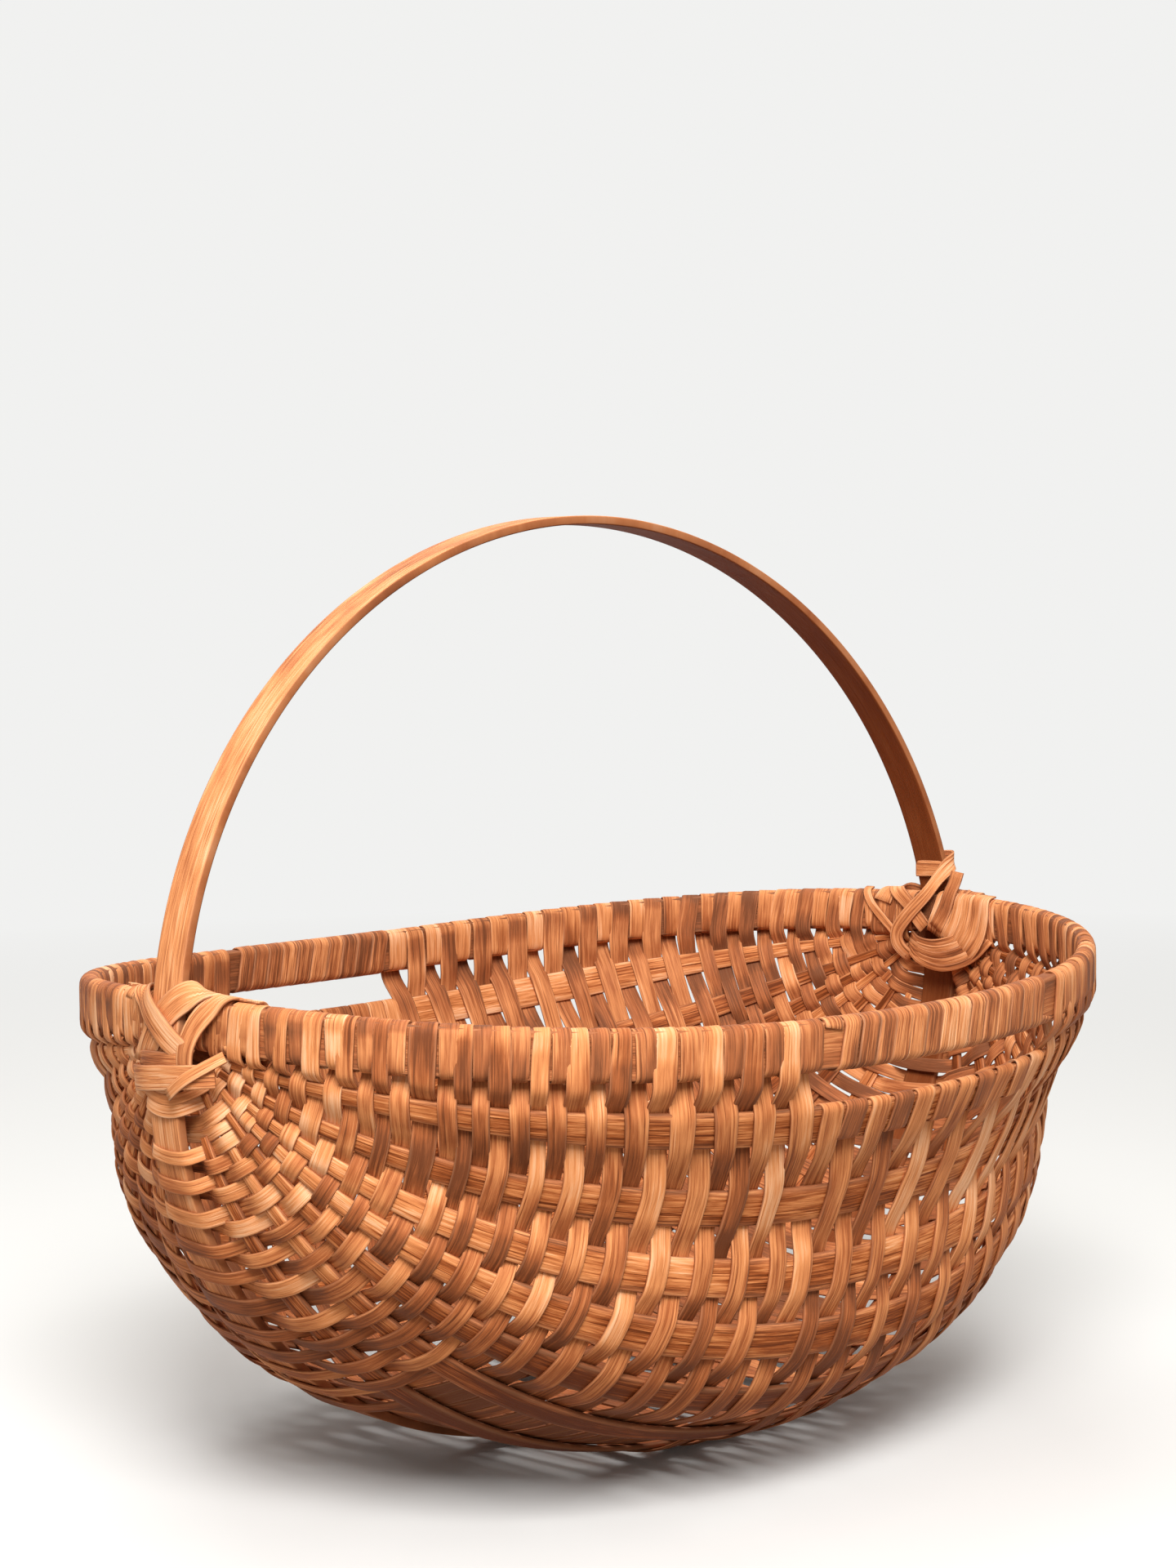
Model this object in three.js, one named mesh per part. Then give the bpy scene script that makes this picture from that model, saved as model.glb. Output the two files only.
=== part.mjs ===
// Oval split-rib carrying basket with a fixed handle hoop. Units are mm, Z is up.
// The origin is under the middle of the rim, on the surface the basket stands on.
import * as THREE from 'three';

// Rim hoop, which sits inside the handle hoop at the ears
const EAR_SPACE = 2.8;
const RIM_HALF_WIDTH = 148.5;
const RIM_EXPONENT = 2.379;
const RIM_HEIGHT = 15.6;
const RIM_THICK = 5.4;
const RIM_SADDLE = 5.6;
const RIM_STATIONS = 76;

// Handle hoop: the handle above the rim and the spine below it, whose ends meet at the ears
const HOOP_WIDTH = 14.5;
const HOOP_THICK = 3.2;
const HOOP_HALF_SPAN = 202.6;
const HOOP_TOP_ABOVE_RIM = 168.0;
const HOOP_TOP_EXPONENT = 1.966;
const HOOP_TOP_STEPS = 29;
const HOOP_LOW_STEPS = 29;
const HOOP_LEAN = 0.074;
const HOOP_SETTLE = 90;

// Belly: depth and exponent of the rib arcs, by angle from the rim round to the spine
const BELLY_DEPTH = [148.5, 141.6, 170.6, 174.8, 170.6];
const BELLY_DEPTH_STEP = 22.5;
const BELLY_EXPONENT = [2.379, 2.19, 2.02, 2.16];
const BELLY_EXPONENT_STEP = 30;
const BELLY_BULGE = 2.8;
const BELLY_LOW_CENTRE = 18.0;
const BELLY_SIDE_SHIFT = 5.8;
const BELLY_SHIFT_DEPTH = 165.0;

// Ribs, seven on each side of the spine, every other short one starting further from the ear
const RIB_ANGLES = [7.0, 20.4, 30.7, 38.8, 48.2, 59.0, 72.0];
const RIB_START = [28, 26, 50, 26, 50, 26, 30];
const RIB_BARE_OUTSIDE = [false, true, false, true, false, true, true];
const RIB_WIDTH_MAX = 13.0;
const RIB_WIDTH_MIN = 2.0;
const RIB_WIDTH_GROWTH = 0.085;
const RIB_THICK_MAX = 2.4;
const RIB_THICK_MIN = 1.6;
const RIB_THICK_REACH = 120;

// Woven wall and rim wrapping
const GAP = 0.3;
const WALL_GAP = 0.45;
const WALL_THICK = 1.1;
const SPLIT_THICK = 0.9;
const WRAP_GAP = 0.3;
const FAN_RADIUS = 24;
const FAN_DROP = 6;
const WALL_EDGE_MARGIN = 0.9;
const WALL_COLUMN_SHARE = 0.33;
const AMPLITUDE_LEAD = 22;
const SECTION_GAP = 0.4;
const SIDE_BANDS = 4;
const MIDDLE_BANDS = 2;
const BAND_STEPS = 3;

// Slots between the weavers: rows of them across each band, from rib to rib but for the pairs next to the rim
const SLOT_HEIGHT = 1.6;
const SLOT_LEAST_LENGTH = 3.5;
const SLOT_FREE_PAIRS = 1;

// Hand holds: where each begins and ends along X
const NEAR_HOLD = [-54, 76];
const FAR_HOLD = [-68, 20];
const HOLD_PITCH = 8.3;
const HOLD_TAPE_WIDTH = 7.9;
const HOLD_BEVEL = 1.0;

// Ear lashings
const EAR_CLEAR = 20.5;
const LASH_WIDTH = 2.7;
const LASH_THICK = 1.0;
const LASH_REACH = 13.9;
const LASH_PITCH = 7.3;
const LASH_STEP = 4.8;
const LASH_TURNS = 2;
const LASH_LAYER = 1.5;
const LASH_LIFT = 0.5;
const LASH_SEAT = 0.5;
const LASH_BEVEL = 0.5;
const LASH_SIDE = 0.6;
const BAND_TOP = -14;
const BAND_HEIGHT = 9;
const BAND_REACH = 17;
const BAND_SIDE = 1.2;
const BAND_SINK = 3.4;

// Pieces of a winding nearer along it than this many widths, or further apart, are not compared
const SELF_REACH = 2.5;
const SELF_NEAR = 6;

const RAD = Math.PI / 180;
const SPINE_ANGLE = 90;
const HALF_TURN = 2 * SPINE_ANGLE;
const rimHalfLength = HOOP_HALF_SPAN - HOOP_THICK / 2 - EAR_SPACE - RIM_THICK / 2;
const wrapHalfHeight = RIM_HEIGHT / 2 + WRAP_GAP + SPLIT_THICK;
const wrapHalfThick = RIM_THICK / 2 + WRAP_GAP + SPLIT_THICK;
const wallTop = wrapHalfHeight + GAP;
const hoopEarOffset = HOOP_HALF_SPAN - rimHalfLength - BELLY_BULGE;

// Small vector helpers
const add = (a, b, k = 1) => [a[0] + b[0] * k, a[1] + b[1] * k, a[2] + b[2] * k];
const sub = (a, b) => [a[0] - b[0], a[1] - b[1], a[2] - b[2]];
const dot = (a, b) => a[0] * b[0] + a[1] * b[1] + a[2] * b[2];
const cross = (a, b) => [a[1] * b[2] - a[2] * b[1], a[2] * b[0] - a[0] * b[2], a[0] * b[1] - a[1] * b[0]];
const length = (a) => Math.hypot(a[0], a[1], a[2]);
const unit = (a) => { const l = length(a); return [a[0] / l, a[1] / l, a[2] / l]; };
const mix = (a, b, k) => [a[0] + (b[0] - a[0]) * k, a[1] + (b[1] - a[1]) * k, a[2] + (b[2] - a[2]) * k];
const signedPow = (v, e) => Math.sign(v) * Math.pow(Math.abs(v), e);
const smooth = (v) => { const k = Math.min(1, Math.max(0, v)); return k * k * (3 - 2 * k); };

// Value on evenly spaced knots, mirrored at the last knot
function onKnots(values, step, degrees) {
  const folded = degrees > SPINE_ANGLE ? HALF_TURN - degrees : degrees;
  const last = values.length - 1;
  const at = (i) => {
    if (i < 0) return 2 * values[0] - values[1];
    return i > last ? values[2 * last - i] : values[i];
  };
  const f = folded / step;
  const i = Math.min(last - 1, Math.floor(f));
  const k = f - i;
  const p0 = at(i - 1), p1 = at(i), p2 = at(i + 1), p3 = at(i + 2);
  const m1 = (p2 - p0) / 2, m2 = (p3 - p1) / 2;
  const k2 = k * k, k3 = k2 * k;
  return (2 * k3 - 3 * k2 + 1) * p1 + (k3 - 2 * k2 + k) * m1 + (3 * k2 - 2 * k3) * p2 + (k3 - k2) * m2;
}

// The rim is highest at the ears and lowest at the middle of each long side
function saddle(x, y) {
  const a = (x / rimHalfLength) ** 2, b = (y / RIM_HALF_WIDTH) ** 2;
  return RIM_SADDLE * (a - b) / (a + b + 1e-9);
}

function arcShape(degrees) {
  const w = Math.sin(degrees * RAD) ** 2;
  const centre = BELLY_LOW_CENTRE * w * w;
  return {
    w, centre,
    exponent: onKnots(BELLY_EXPONENT, BELLY_EXPONENT_STEP, degrees),
    half: rimHalfLength + BELLY_BULGE * w * w,
    deep: onKnots(BELLY_DEPTH, BELLY_DEPTH_STEP, degrees) - centre,
  };
}

// Point of the belly: t runs from the left ear (near 0) to the right ear (near PI)
function belly(t, degrees) {
  const s = arcShape(degrees);
  const x = -s.half * signedPow(Math.cos(t), 2 / s.exponent);
  const r = s.centre + s.deep * signedPow(Math.sin(t), 2 / s.exponent);
  const side = Math.cos(degrees * RAD), down = Math.sin(degrees * RAD);
  const y = -r * side;
  const z = -r * down - wallTop * side * side + saddle(x, r) * side * side + RIM_SADDLE * down * down;
  return [x, y + BELLY_SIDE_SHIFT * r * down / BELLY_SHIFT_DEPTH, z];
}

function bellyFrame(t, degrees) {
  const e = 1e-4;
  const along = sub(belly(t + e, degrees), belly(t - e, degrees)).map((v) => v / (2 * e));
  const lift = 0.01;
  const low = Math.max(0, degrees - lift), high = Math.min(HALF_TURN, degrees + lift);
  const across = sub(belly(t, high), belly(t, low)).map((v) => v / (high - low));
  return {
    point: belly(t, degrees), alongUnit: unit(along), normal: unit(cross(across, along)),
    perRadian: length(along), perDegree: length(across),
  };
}

const earPoint = (side) => [side * rimHalfLength, 0, RIM_SADDLE - FAN_DROP];
const earDistance = (p) => Math.min(length(sub(p, earPoint(-1))), length(sub(p, earPoint(1))));

function tAtX(x, degrees) {
  const s = arcShape(degrees);
  return Math.acos(signedPow(-x / s.half, s.exponent / 2));
}

function tAtEarDistance(distance, degrees) {
  let low = 1e-3, high = Math.PI / 2;
  for (let i = 0; i < 50; i++) {
    const mid = (low + high) / 2;
    if (length(sub(belly(mid, degrees), earPoint(-1))) < distance) low = mid; else high = mid;
  }
  return (low + high) / 2;
}

// Rows: 0 to 1 is the left weave, 1 to 2 the middle weave, 2 to 3 the right weave
function rowT(u, degrees) {
  const k = degrees / HALF_TURN;
  const first = tAtEarDistance(FAN_RADIUS, degrees);
  const edge = (i) => tAtX(NEAR_HOLD[i] + (FAR_HOLD[i] - NEAR_HOLD[i]) * k, degrees);
  const marks = [first, edge(0), edge(1), Math.PI - first];
  const i = Math.min(2, Math.floor(u));
  return marks[i] + (marks[i + 1] - marks[i]) * (u - i);
}

// Each weave is cut into bands of neighbouring rows
const bandsOf = (section, bands) => Array.from({ length: bands }, (_, b) =>
  Array.from({ length: BAND_STEPS + 1 }, (_, i) => section + (b * BAND_STEPS + i) / (bands * BAND_STEPS)));
const weaves = { left: bandsOf(0, SIDE_BANDS), middle: bandsOf(1, MIDDLE_BANDS), right: bandsOf(2, SIDE_BANDS) };
const allRows = [0, ...Object.values(weaves).flat().flatMap((rows) => rows.slice(1))];

const ribWidth = (d) => Math.min(RIB_WIDTH_MAX, Math.max(RIB_WIDTH_MIN, RIB_WIDTH_GROWTH * d));
const ribThick = (d) => RIB_THICK_MIN + (RIB_THICK_MAX - RIB_THICK_MIN) * Math.min(1, d / RIB_THICK_REACH);

// Closed body from rings of points; flipped if it comes out inside out
function sweep(rings, closed) {
  const m = rings[0].length, points = rings.flat(), faces = [];
  const last = closed ? rings.length : rings.length - 1;
  for (let i = 0; i < last; i++) {
    const a = i * m, b = ((i + 1) % rings.length) * m;
    for (let j = 0; j < m; j++) {
      const k = (j + 1) % m;
      faces.push([a + j, b + j, b + k], [a + j, b + k, a + k]);
    }
  }
  if (!closed) {
    const end = (rings.length - 1) * m;
    for (let j = 1; j < m - 1; j++) faces.push([0, j, j + 1], [end, end + j + 1, end + j]);
  }
  return body(points, faces);
}

function body(points, faces) {
  let volume = 0;
  for (const [a, b, c] of faces) volume += dot(points[a], cross(points[b], points[c]));
  const index = (volume < 0 ? faces.map(([a, b, c]) => [a, c, b]) : faces).flat();
  const geometry = new THREE.BufferGeometry();
  geometry.setAttribute('position', new THREE.Float32BufferAttribute(points.flat(), 3));
  geometry.setIndex(index);
  const flat = geometry.toNonIndexed();
  flat.computeVertexNormals();
  return flat;
}

// Four corners of a flat strip
const stripRing = (p, wide, thick, w, t) => [
  add(add(p, wide, -w / 2), thick, -t / 2), add(add(p, wide, w / 2), thick, -t / 2),
  add(add(p, wide, w / 2), thick, t / 2), add(add(p, wide, -w / 2), thick, t / 2)];

function ribGeometry(number, far) {
  const degrees = far ? HALF_TURN - RIB_ANGLES[number] : RIB_ANGLES[number];
  const start = tAtEarDistance(RIB_START[number], degrees);
  const stop = Math.PI - start;
  const inside = allRows.map((u) => rowT(u, degrees)).filter((t) => t > start + 0.01 && t < stop - 0.01);
  const rings = [start, ...inside, stop].map((t) => {
    const f = bellyFrame(t, degrees), d = earDistance(f.point);
    const half = ribWidth(d) / 2 / f.perDegree, h = ribThick(d) / 2;
    const a = bellyFrame(t, degrees - half), b = bellyFrame(t, degrees + half);
    return [add(a.point, a.normal, -h), add(b.point, b.normal, -h), add(b.point, b.normal, h), add(a.point, a.normal, h)];
  });
  return sweep(rings, false);
}

// The wall passes inside the spine and the ribs that show outside, and outside the others
const wallRibs = [...RIB_ANGLES.map((a, i) => ({ degrees: a, number: i })),
  { degrees: SPINE_ANGLE, number: -1 },
  ...RIB_ANGLES.map((a, i) => ({ degrees: HALF_TURN - a, number: i })).reverse()];

function wallColumns(u, toRim) {
  const columns = [];
  if (toRim) columns.push([0, 0]);
  wallRibs.forEach((rib, i) => {
    const f = bellyFrame(rowT(u, rib.degrees), rib.degrees), d = earDistance(f.point);
    const before = i ? wallRibs[i - 1].degrees : -rib.degrees;
    const after = i < wallRibs.length - 1 ? wallRibs[i + 1].degrees : 2 * HALF_TURN - rib.degrees;
    const room = Math.min(rib.degrees - before, after - rib.degrees) * WALL_COLUMN_SHARE;
    const spine = rib.number < 0;
    const halfWide = (spine ? HOOP_WIDTH : ribWidth(d)) / 2 + WALL_EDGE_MARGIN;
    const half = Math.min(halfWide / f.perDegree, room);
    const reached = spine || d >= RIB_START[rib.number] - AMPLITUDE_LEAD;
    const sign = spine || RIB_BARE_OUTSIDE[rib.number] ? -1 : 1;
    const thick = spine ? HOOP_THICK : ribThick(d);
    const lift = reached ? sign * (thick / 2 + WALL_GAP + WALL_THICK / 2) : 0;
    columns.push([rib.degrees - half, lift], [rib.degrees + half, lift]);
  });
  if (toRim) columns.push([HALF_TURN, 0]);
  return columns;
}

function wallGeometry(rows, toRim) {
  const points = [], faces = [], end = rows.length - 1;
  const rims = toRim ? 1 : 0;
  const wide = 2 * (wallRibs.length + rims);
  const lines = rows.flatMap((u, i) => (i % end ? [{ u, slot: -1 }, { u, slot: 1 }] : [{ u, slot: 0 }]));
  const slotLength = lines.map(() => []);
  lines.forEach(({ u, slot }, i) => {
    const columns = wallColumns(u, toRim);
    columns.forEach(([degrees, lift], j) => {
      let t = rowT(u, degrees);
      const { perRadian, perDegree } = bellyFrame(t, degrees);
      t += slot * SLOT_HEIGHT / 2 / perRadian;
      if (i === 0 && u > 0) t += SECTION_GAP / 2 / perRadian;
      if (i === lines.length - 1 && u < 3) t -= SECTION_GAP / 2 / perRadian;
      const f = bellyFrame(t, degrees);
      points.push(add(f.point, f.normal, lift + WALL_THICK / 2), add(f.point, f.normal, lift - WALL_THICK / 2));
      const pair = (j - 1 - rims) / 2, lastPair = wallRibs.length - 2;
      const open = Number.isInteger(pair) && pair >= SLOT_FREE_PAIRS && pair <= lastPair - SLOT_FREE_PAIRS;
      slotLength[i].push(slot < 0 && open ? (columns[j + 1][0] - degrees) * perDegree : 0);
    });
  });
  const id = (i, j, inner) => (i * wide + j) * 2 + inner;
  const quad = (a, b, c, d) => faces.push([a, b, c], [a, c, d]);
  const wall = (i, j, k, m) => quad(id(i, j, 0), id(k, m, 0), id(k, m, 1), id(i, j, 1));
  const high = lines.length - 1;
  for (let i = 0; i < high; i++) {
    for (let j = 0; j < wide - 1; j++) {
      if (slotLength[i][j] > SLOT_LEAST_LENGTH) {
        wall(i, j, i + 1, j);
        wall(i + 1, j, i + 1, j + 1);
        wall(i + 1, j + 1, i, j + 1);
        wall(i, j + 1, i, j);
      } else {
        quad(id(i, j, 0), id(i + 1, j, 0), id(i + 1, j + 1, 0), id(i, j + 1, 0));
        quad(id(i, j, 1), id(i, j + 1, 1), id(i + 1, j + 1, 1), id(i + 1, j, 1));
      }
    }
    wall(i + 1, 0, i, 0);
    wall(i, wide - 1, i + 1, wide - 1);
  }
  for (let j = 0; j < wide - 1; j++) {
    wall(0, j, 0, j + 1);
    wall(high, j + 1, high, j);
  }
  return body(points, faces);
}

// Rim line, by length from the right ear, over the far side to the left ear and back
function rimCurve(angle) {
  const x = rimHalfLength * signedPow(Math.cos(angle), 2 / RIM_EXPONENT);
  const y = RIM_HALF_WIDTH * signedPow(Math.sin(angle), 2 / RIM_EXPONENT);
  return [x, y, saddle(x, y)];
}
const FINE = 4000;
const fine = Array.from({ length: FINE + 1 }, (_, i) => rimCurve(2 * Math.PI * i / FINE));
const runs = [0];
for (let i = 1; i <= FINE; i++) runs.push(runs[i - 1] + length(sub(fine[i], fine[i - 1])));
const rimLength = runs[FINE];
function fineAt(run) {
  const wanted = ((run % rimLength) + rimLength) % rimLength;
  let low = 0, high = FINE;
  while (high - low > 1) { const mid = (low + high) >> 1; if (runs[mid] <= wanted) low = mid; else high = mid; }
  return mix(fine[low], fine[high], (wanted - runs[low]) / (runs[high] - runs[low]));
}
const stationStep = rimLength / RIM_STATIONS;
const stations = Array.from({ length: RIM_STATIONS }, (_, i) => {
  const p = fineAt(i * stationStep);
  const along = unit(sub(fineAt(i * stationStep + 1), fineAt(i * stationStep - 1)));
  return { p, along, out: unit([along[1], -along[0], 0]) };
});
function rimAt(run) {
  const f = (((run % rimLength) + rimLength) % rimLength) / stationStep;
  const i = Math.floor(f) % RIM_STATIONS, j = (i + 1) % RIM_STATIONS, k = f - Math.floor(f);
  const a = stations[i], b = stations[j];
  return { p: mix(a.p, b.p, k), along: unit(mix(a.along, b.along, k)), out: unit(mix(a.out, b.out, k)) };
}
const UP = [0, 0, 1];
const band = (f, halfThick, halfHeight) => [
  add(add(f.p, f.out, -halfThick), UP, -halfHeight), add(add(f.p, f.out, halfThick), UP, -halfHeight),
  add(add(f.p, f.out, halfThick), UP, halfHeight), add(add(f.p, f.out, -halfThick), UP, halfHeight)];

const rimGeometry = () => sweep(stations.map((f) => band(f, RIM_THICK / 2, RIM_HEIGHT / 2)), true);

function runAtX(x, far) {
  let best = 0, least = Infinity;
  for (let i = 0; i <= FINE; i++) {
    const onSide = far ? fine[i][1] > 0 : fine[i][1] < 0;
    const miss = Math.abs(fine[i][0] - x);
    if (onSide && miss < least) { least = miss; best = runs[i]; }
  }
  return best;
}

// Sleeve that stands in for the turns of split round one stretch of the rim
function sleeveGeometry(from, to) {
  const inner = [RIM_THICK / 2 + WRAP_GAP, RIM_HEIGHT / 2 + WRAP_GAP];
  const cuts = [from];
  for (let i = Math.ceil(from / stationStep + 0.05); i * stationStep < to - 1; i++) cuts.push(i * stationStep);
  cuts.push(to);
  const points = [], faces = [];
  cuts.forEach((run) => {
    const f = rimAt(run);
    points.push(...band(f, wrapHalfThick, wrapHalfHeight), ...band(f, inner[0], inner[1]));
  });
  const n = 8, last = cuts.length - 1;
  const quad = (a, b, c, d) => faces.push([a, b, c], [a, c, d]);
  for (let j = 0; j < 4; j++) {
    const k = (j + 1) % 4;
    for (let i = 0; i < last; i++) {
      const a = i * n, b = a + n;
      quad(a + j, b + j, b + k, a + k);
      quad(a + 4 + j, a + 4 + k, b + 4 + k, b + 4 + j);
    }
    quad(j, k, 4 + k, 4 + j);
    quad(last * n + j, last * n + 4 + j, last * n + 4 + k, last * n + k);
  }
  return body(points, faces);
}

// One unbroken split wound round the bare rim over a hand hold
function holdPath(far) {
  const from = far ? runAtX(FAR_HOLD[1], true) : runAtX(NEAR_HOLD[0], false);
  const to = far ? runAtX(FAR_HOLD[0], true) : runAtX(NEAR_HOLD[1], false);
  const start = from + HOLD_TAPE_WIDTH / 2 + SECTION_GAP, stop = to - HOLD_TAPE_WIDTH / 2 - SECTION_GAP;
  const wide = RIM_THICK / 2 + WRAP_GAP + SPLIT_THICK / 2, tall = RIM_HEIGHT / 2 + WRAP_GAP + SPLIT_THICK / 2;
  const bevel = HOLD_BEVEL;
  const corners = [[wide, -tall + bevel, 1, 0], [wide, tall - bevel, 1, 0], [wide - bevel, tall, 0, 1],
    [-wide + bevel, tall, 0, 1], [-wide, tall - bevel, -1, 0], [-wide, -tall + bevel, -1, 0],
    [-wide + bevel, -tall, 0, -1], [wide - bevel, -tall, 0, -1]];
  const round = [0];
  for (let i = 1; i <= corners.length; i++) {
    const a = corners[i - 1], b = corners[i % corners.length];
    round.push(round[i - 1] + Math.hypot(b[0] - a[0], b[1] - a[1]));
  }
  const turns = Math.floor((stop - start) / HOLD_PITCH), path = [];
  for (let i = 0; i <= turns * corners.length; i++) {
    const c = corners[i % corners.length], turn = Math.floor(i / corners.length);
    const share = turn + round[i % corners.length] / round[corners.length];
    const f = rimAt(start + (stop - start) * share / turns);
    path.push({
      point: add(add(f.p, f.out, c[0]), UP, c[1]), along: f.along,
      thick: add([f.out[0] * c[2], f.out[1] * c[2], 0], UP, c[3]),
    });
  }
  return path;
}
const holdRings = (far) => holdPath(far).map((q) =>
  stripRing(q.point, q.along, q.thick, HOLD_TAPE_WIDTH, SPLIT_THICK));

// Handle hoop: x of its middle line at a height above the rim middle
const hoopCentre = RIM_SADDLE - BELLY_LOW_CENTRE;
const hoopTopDeep = HOOP_TOP_ABOVE_RIM - hoopCentre;
function hoopTop(t) {
  const x = -HOOP_HALF_SPAN * signedPow(Math.cos(t), 2 / HOOP_TOP_EXPONENT);
  const z = hoopCentre + hoopTopDeep * signedPow(Math.sin(t), 2 / HOOP_TOP_EXPONENT);
  const below = Math.max(0, RIM_SADDLE - z), above = Math.max(0, z - RIM_SADDLE);
  return [x, BELLY_SIDE_SHIFT * below / BELLY_SHIFT_DEPTH + HOOP_LEAN * above, z];
}
function hoopLow(t) {
  const f = bellyFrame(t, SPINE_ANGLE);
  const fade = 1 - smooth((-f.point[2] + hoopCentre) / HOOP_SETTLE);
  return add(f.point, f.normal, hoopEarOffset * fade);
}
function hoopRings() {
  const top = [], low = [];
  for (let i = 0; i <= HOOP_TOP_STEPS; i++) top.push(hoopTop(Math.PI * i / HOOP_TOP_STEPS));
  const first = tAtEarDistance(FAN_RADIUS, SPINE_ANGLE);
  for (let i = 0; i <= HOOP_LOW_STEPS; i++) low.push(hoopLow(first + (Math.PI - 2 * first) * i / HOOP_LOW_STEPS));
  const line = [...top, ...low.reverse()];
  const n = line.length, c = HOOP_THICK / 4;
  const w = HOOP_WIDTH / 2, h = HOOP_THICK / 2;
  const rings = line.map((p, i) => {
    const a = line[(i + n - 1) % n], b = line[(i + 1) % n];
    const along = unit([b[0] - a[0], 0, b[2] - a[2]]);
    const out = [-along[2], 0, along[0]];
    const corners = [[-w, -h + c], [-w + c, -h], [w - c, -h], [w, -h + c], [w, h - c], [w - c, h], [-w + c, h], [-w, h - c]];
    return corners.map(([side, up]) => add([p[0], p[1] + side, p[2]], out, up));
  });
  const rightEar = top.length - 1;
  const pastEar = (ear, next) => rings[ear].map((q) => add(q, unit(sub(line[next], line[ear])), GAP));
  return {
    handle: rings.slice(0, top.length),
    spine: [pastEar(rightEar, rightEar + 1), ...rings.slice(top.length), pastEar(0, n - 1)],
  };
}

// Ear lashing: u along the rim, v up, n out from the rim's middle
function earWorld(side, u, v, n) {
  const f = rimAt(side > 0 ? u : rimLength / 2 - u);
  return add(add(f.p, f.out, n), UP, v);
}
function hoopOuterAt(v) {
  const z = RIM_SADDLE + v - hoopCentre;
  const k = Math.pow(Math.abs(z) / hoopTopDeep, HOOP_TOP_EXPONENT);
  return HOOP_HALF_SPAN * Math.pow(1 - k, 1 / HOOP_TOP_EXPONENT) + HOOP_THICK / 2 - rimHalfLength;
}
function lashPath(side) {
  const seat = LASH_SEAT + LASH_THICK / 2;
  const face = RIM_THICK / 2 + seat, edge = RIM_HEIGHT / 2 + seat;
  const near = edge - LASH_BEVEL, turn = face - LASH_BEVEL;
  const clear = HOOP_WIDTH / 2 + GAP + LASH_THICK / 2 + LASH_SIDE;
  const path = [];
  const put = (u, v, n, normal) => path.push({ point: earWorld(side, u, v, n), normal });
  const out = [side, 0, 0], inside = [-side, 0, 0], down = [0, 0, -1];
  const diagonal = (u0, v0, u1, v1, layer) => {
    for (const u of [Math.sign(u0) * clear, Math.sign(u1) * clear]) {
      const v = v0 + (v1 - v0) * (u - u0) / (u1 - u0);
      put(u, v, hoopOuterAt(v) + seat + LASH_LIFT + layer, out);
    }
  };
  const behind = (u, drop, under) => {
    put(u, near, face, out);
    put(u, edge, turn, UP);
    put(u, edge, -turn, UP);
    put(u, near, -face, inside);
    put(u, -near, -face, inside);
    if (!under) return;
    put(u + drop, -edge, -turn, down);
    put(u + drop, -edge, turn, down);
  };
  for (let k = 0; k < LASH_TURNS; k++) {
    const shift = (k - (LASH_TURNS - 1) / 2) * LASH_PITCH;
    const left = -LASH_REACH + shift, right = LASH_REACH + shift;
    put(left, -near, face, out);
    diagonal(left, -near, right, near, 0);
    behind(right, 0, true);
    put(right, -near, face, out);
    diagonal(right, -near, left, near, LASH_LAYER);
    behind(left, LASH_STEP, k < LASH_TURNS - 1);
  }
  return path;
}
function tapeRings(path, width, thick) {
  return path.map((q, i) => {
    const a = path[Math.max(0, i - 1)].point, b = path[Math.min(path.length - 1, i + 1)].point;
    const along = unit(sub(b, a));
    const normal = unit(add(q.normal, along, -dot(q.normal, along)));
    return stripRing(q.point, cross(along, normal), normal, width, thick);
  });
}

// Short split across the spine just under each ear
function earBandRings(side) {
  const seat = GAP + LASH_THICK / 2, v = BAND_TOP - BAND_HEIGHT / 2;
  const top = hoopOuterAt(BAND_TOP) + seat, clear = HOOP_WIDTH / 2 + BAND_SIDE, low = top - BAND_SINK;
  const line = [[-BAND_REACH, low], [-clear, top], [clear, top], [BAND_REACH, low]];
  const path = line.map(([u, n]) => ({ point: earWorld(side, u, v, n), normal: [side, 0, 0] }));
  const lean = hoopOuterAt(BAND_TOP - BAND_HEIGHT) - hoopOuterAt(BAND_TOP);
  path.forEach((q) => { q.point = add(q.point, [side, 0, 0], Math.max(0, lean)); });
  return tapeRings(path, BAND_HEIGHT, LASH_THICK);
}

// Least distance between two straight pieces
function pieceDistance(a0, a1, b0, b1) {
  const clamp = (v) => Math.min(1, Math.max(0, v));
  const a = sub(a1, a0), b = sub(b1, b0), c = sub(a0, b0);
  const aa = dot(a, a), bb = dot(b, b), ab = dot(a, b), ac = dot(a, c), bc = dot(b, c);
  const flat = aa * bb - ab * ab;
  let k = flat > 1e-9 ? clamp((ab * bc - ac * bb) / flat) : 0;
  const m = clamp((ab * k + bc) / bb);
  k = clamp((ab * m - ac) / aa);
  return length(sub(add(a0, a, k), add(b0, b, m)));
}

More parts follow.
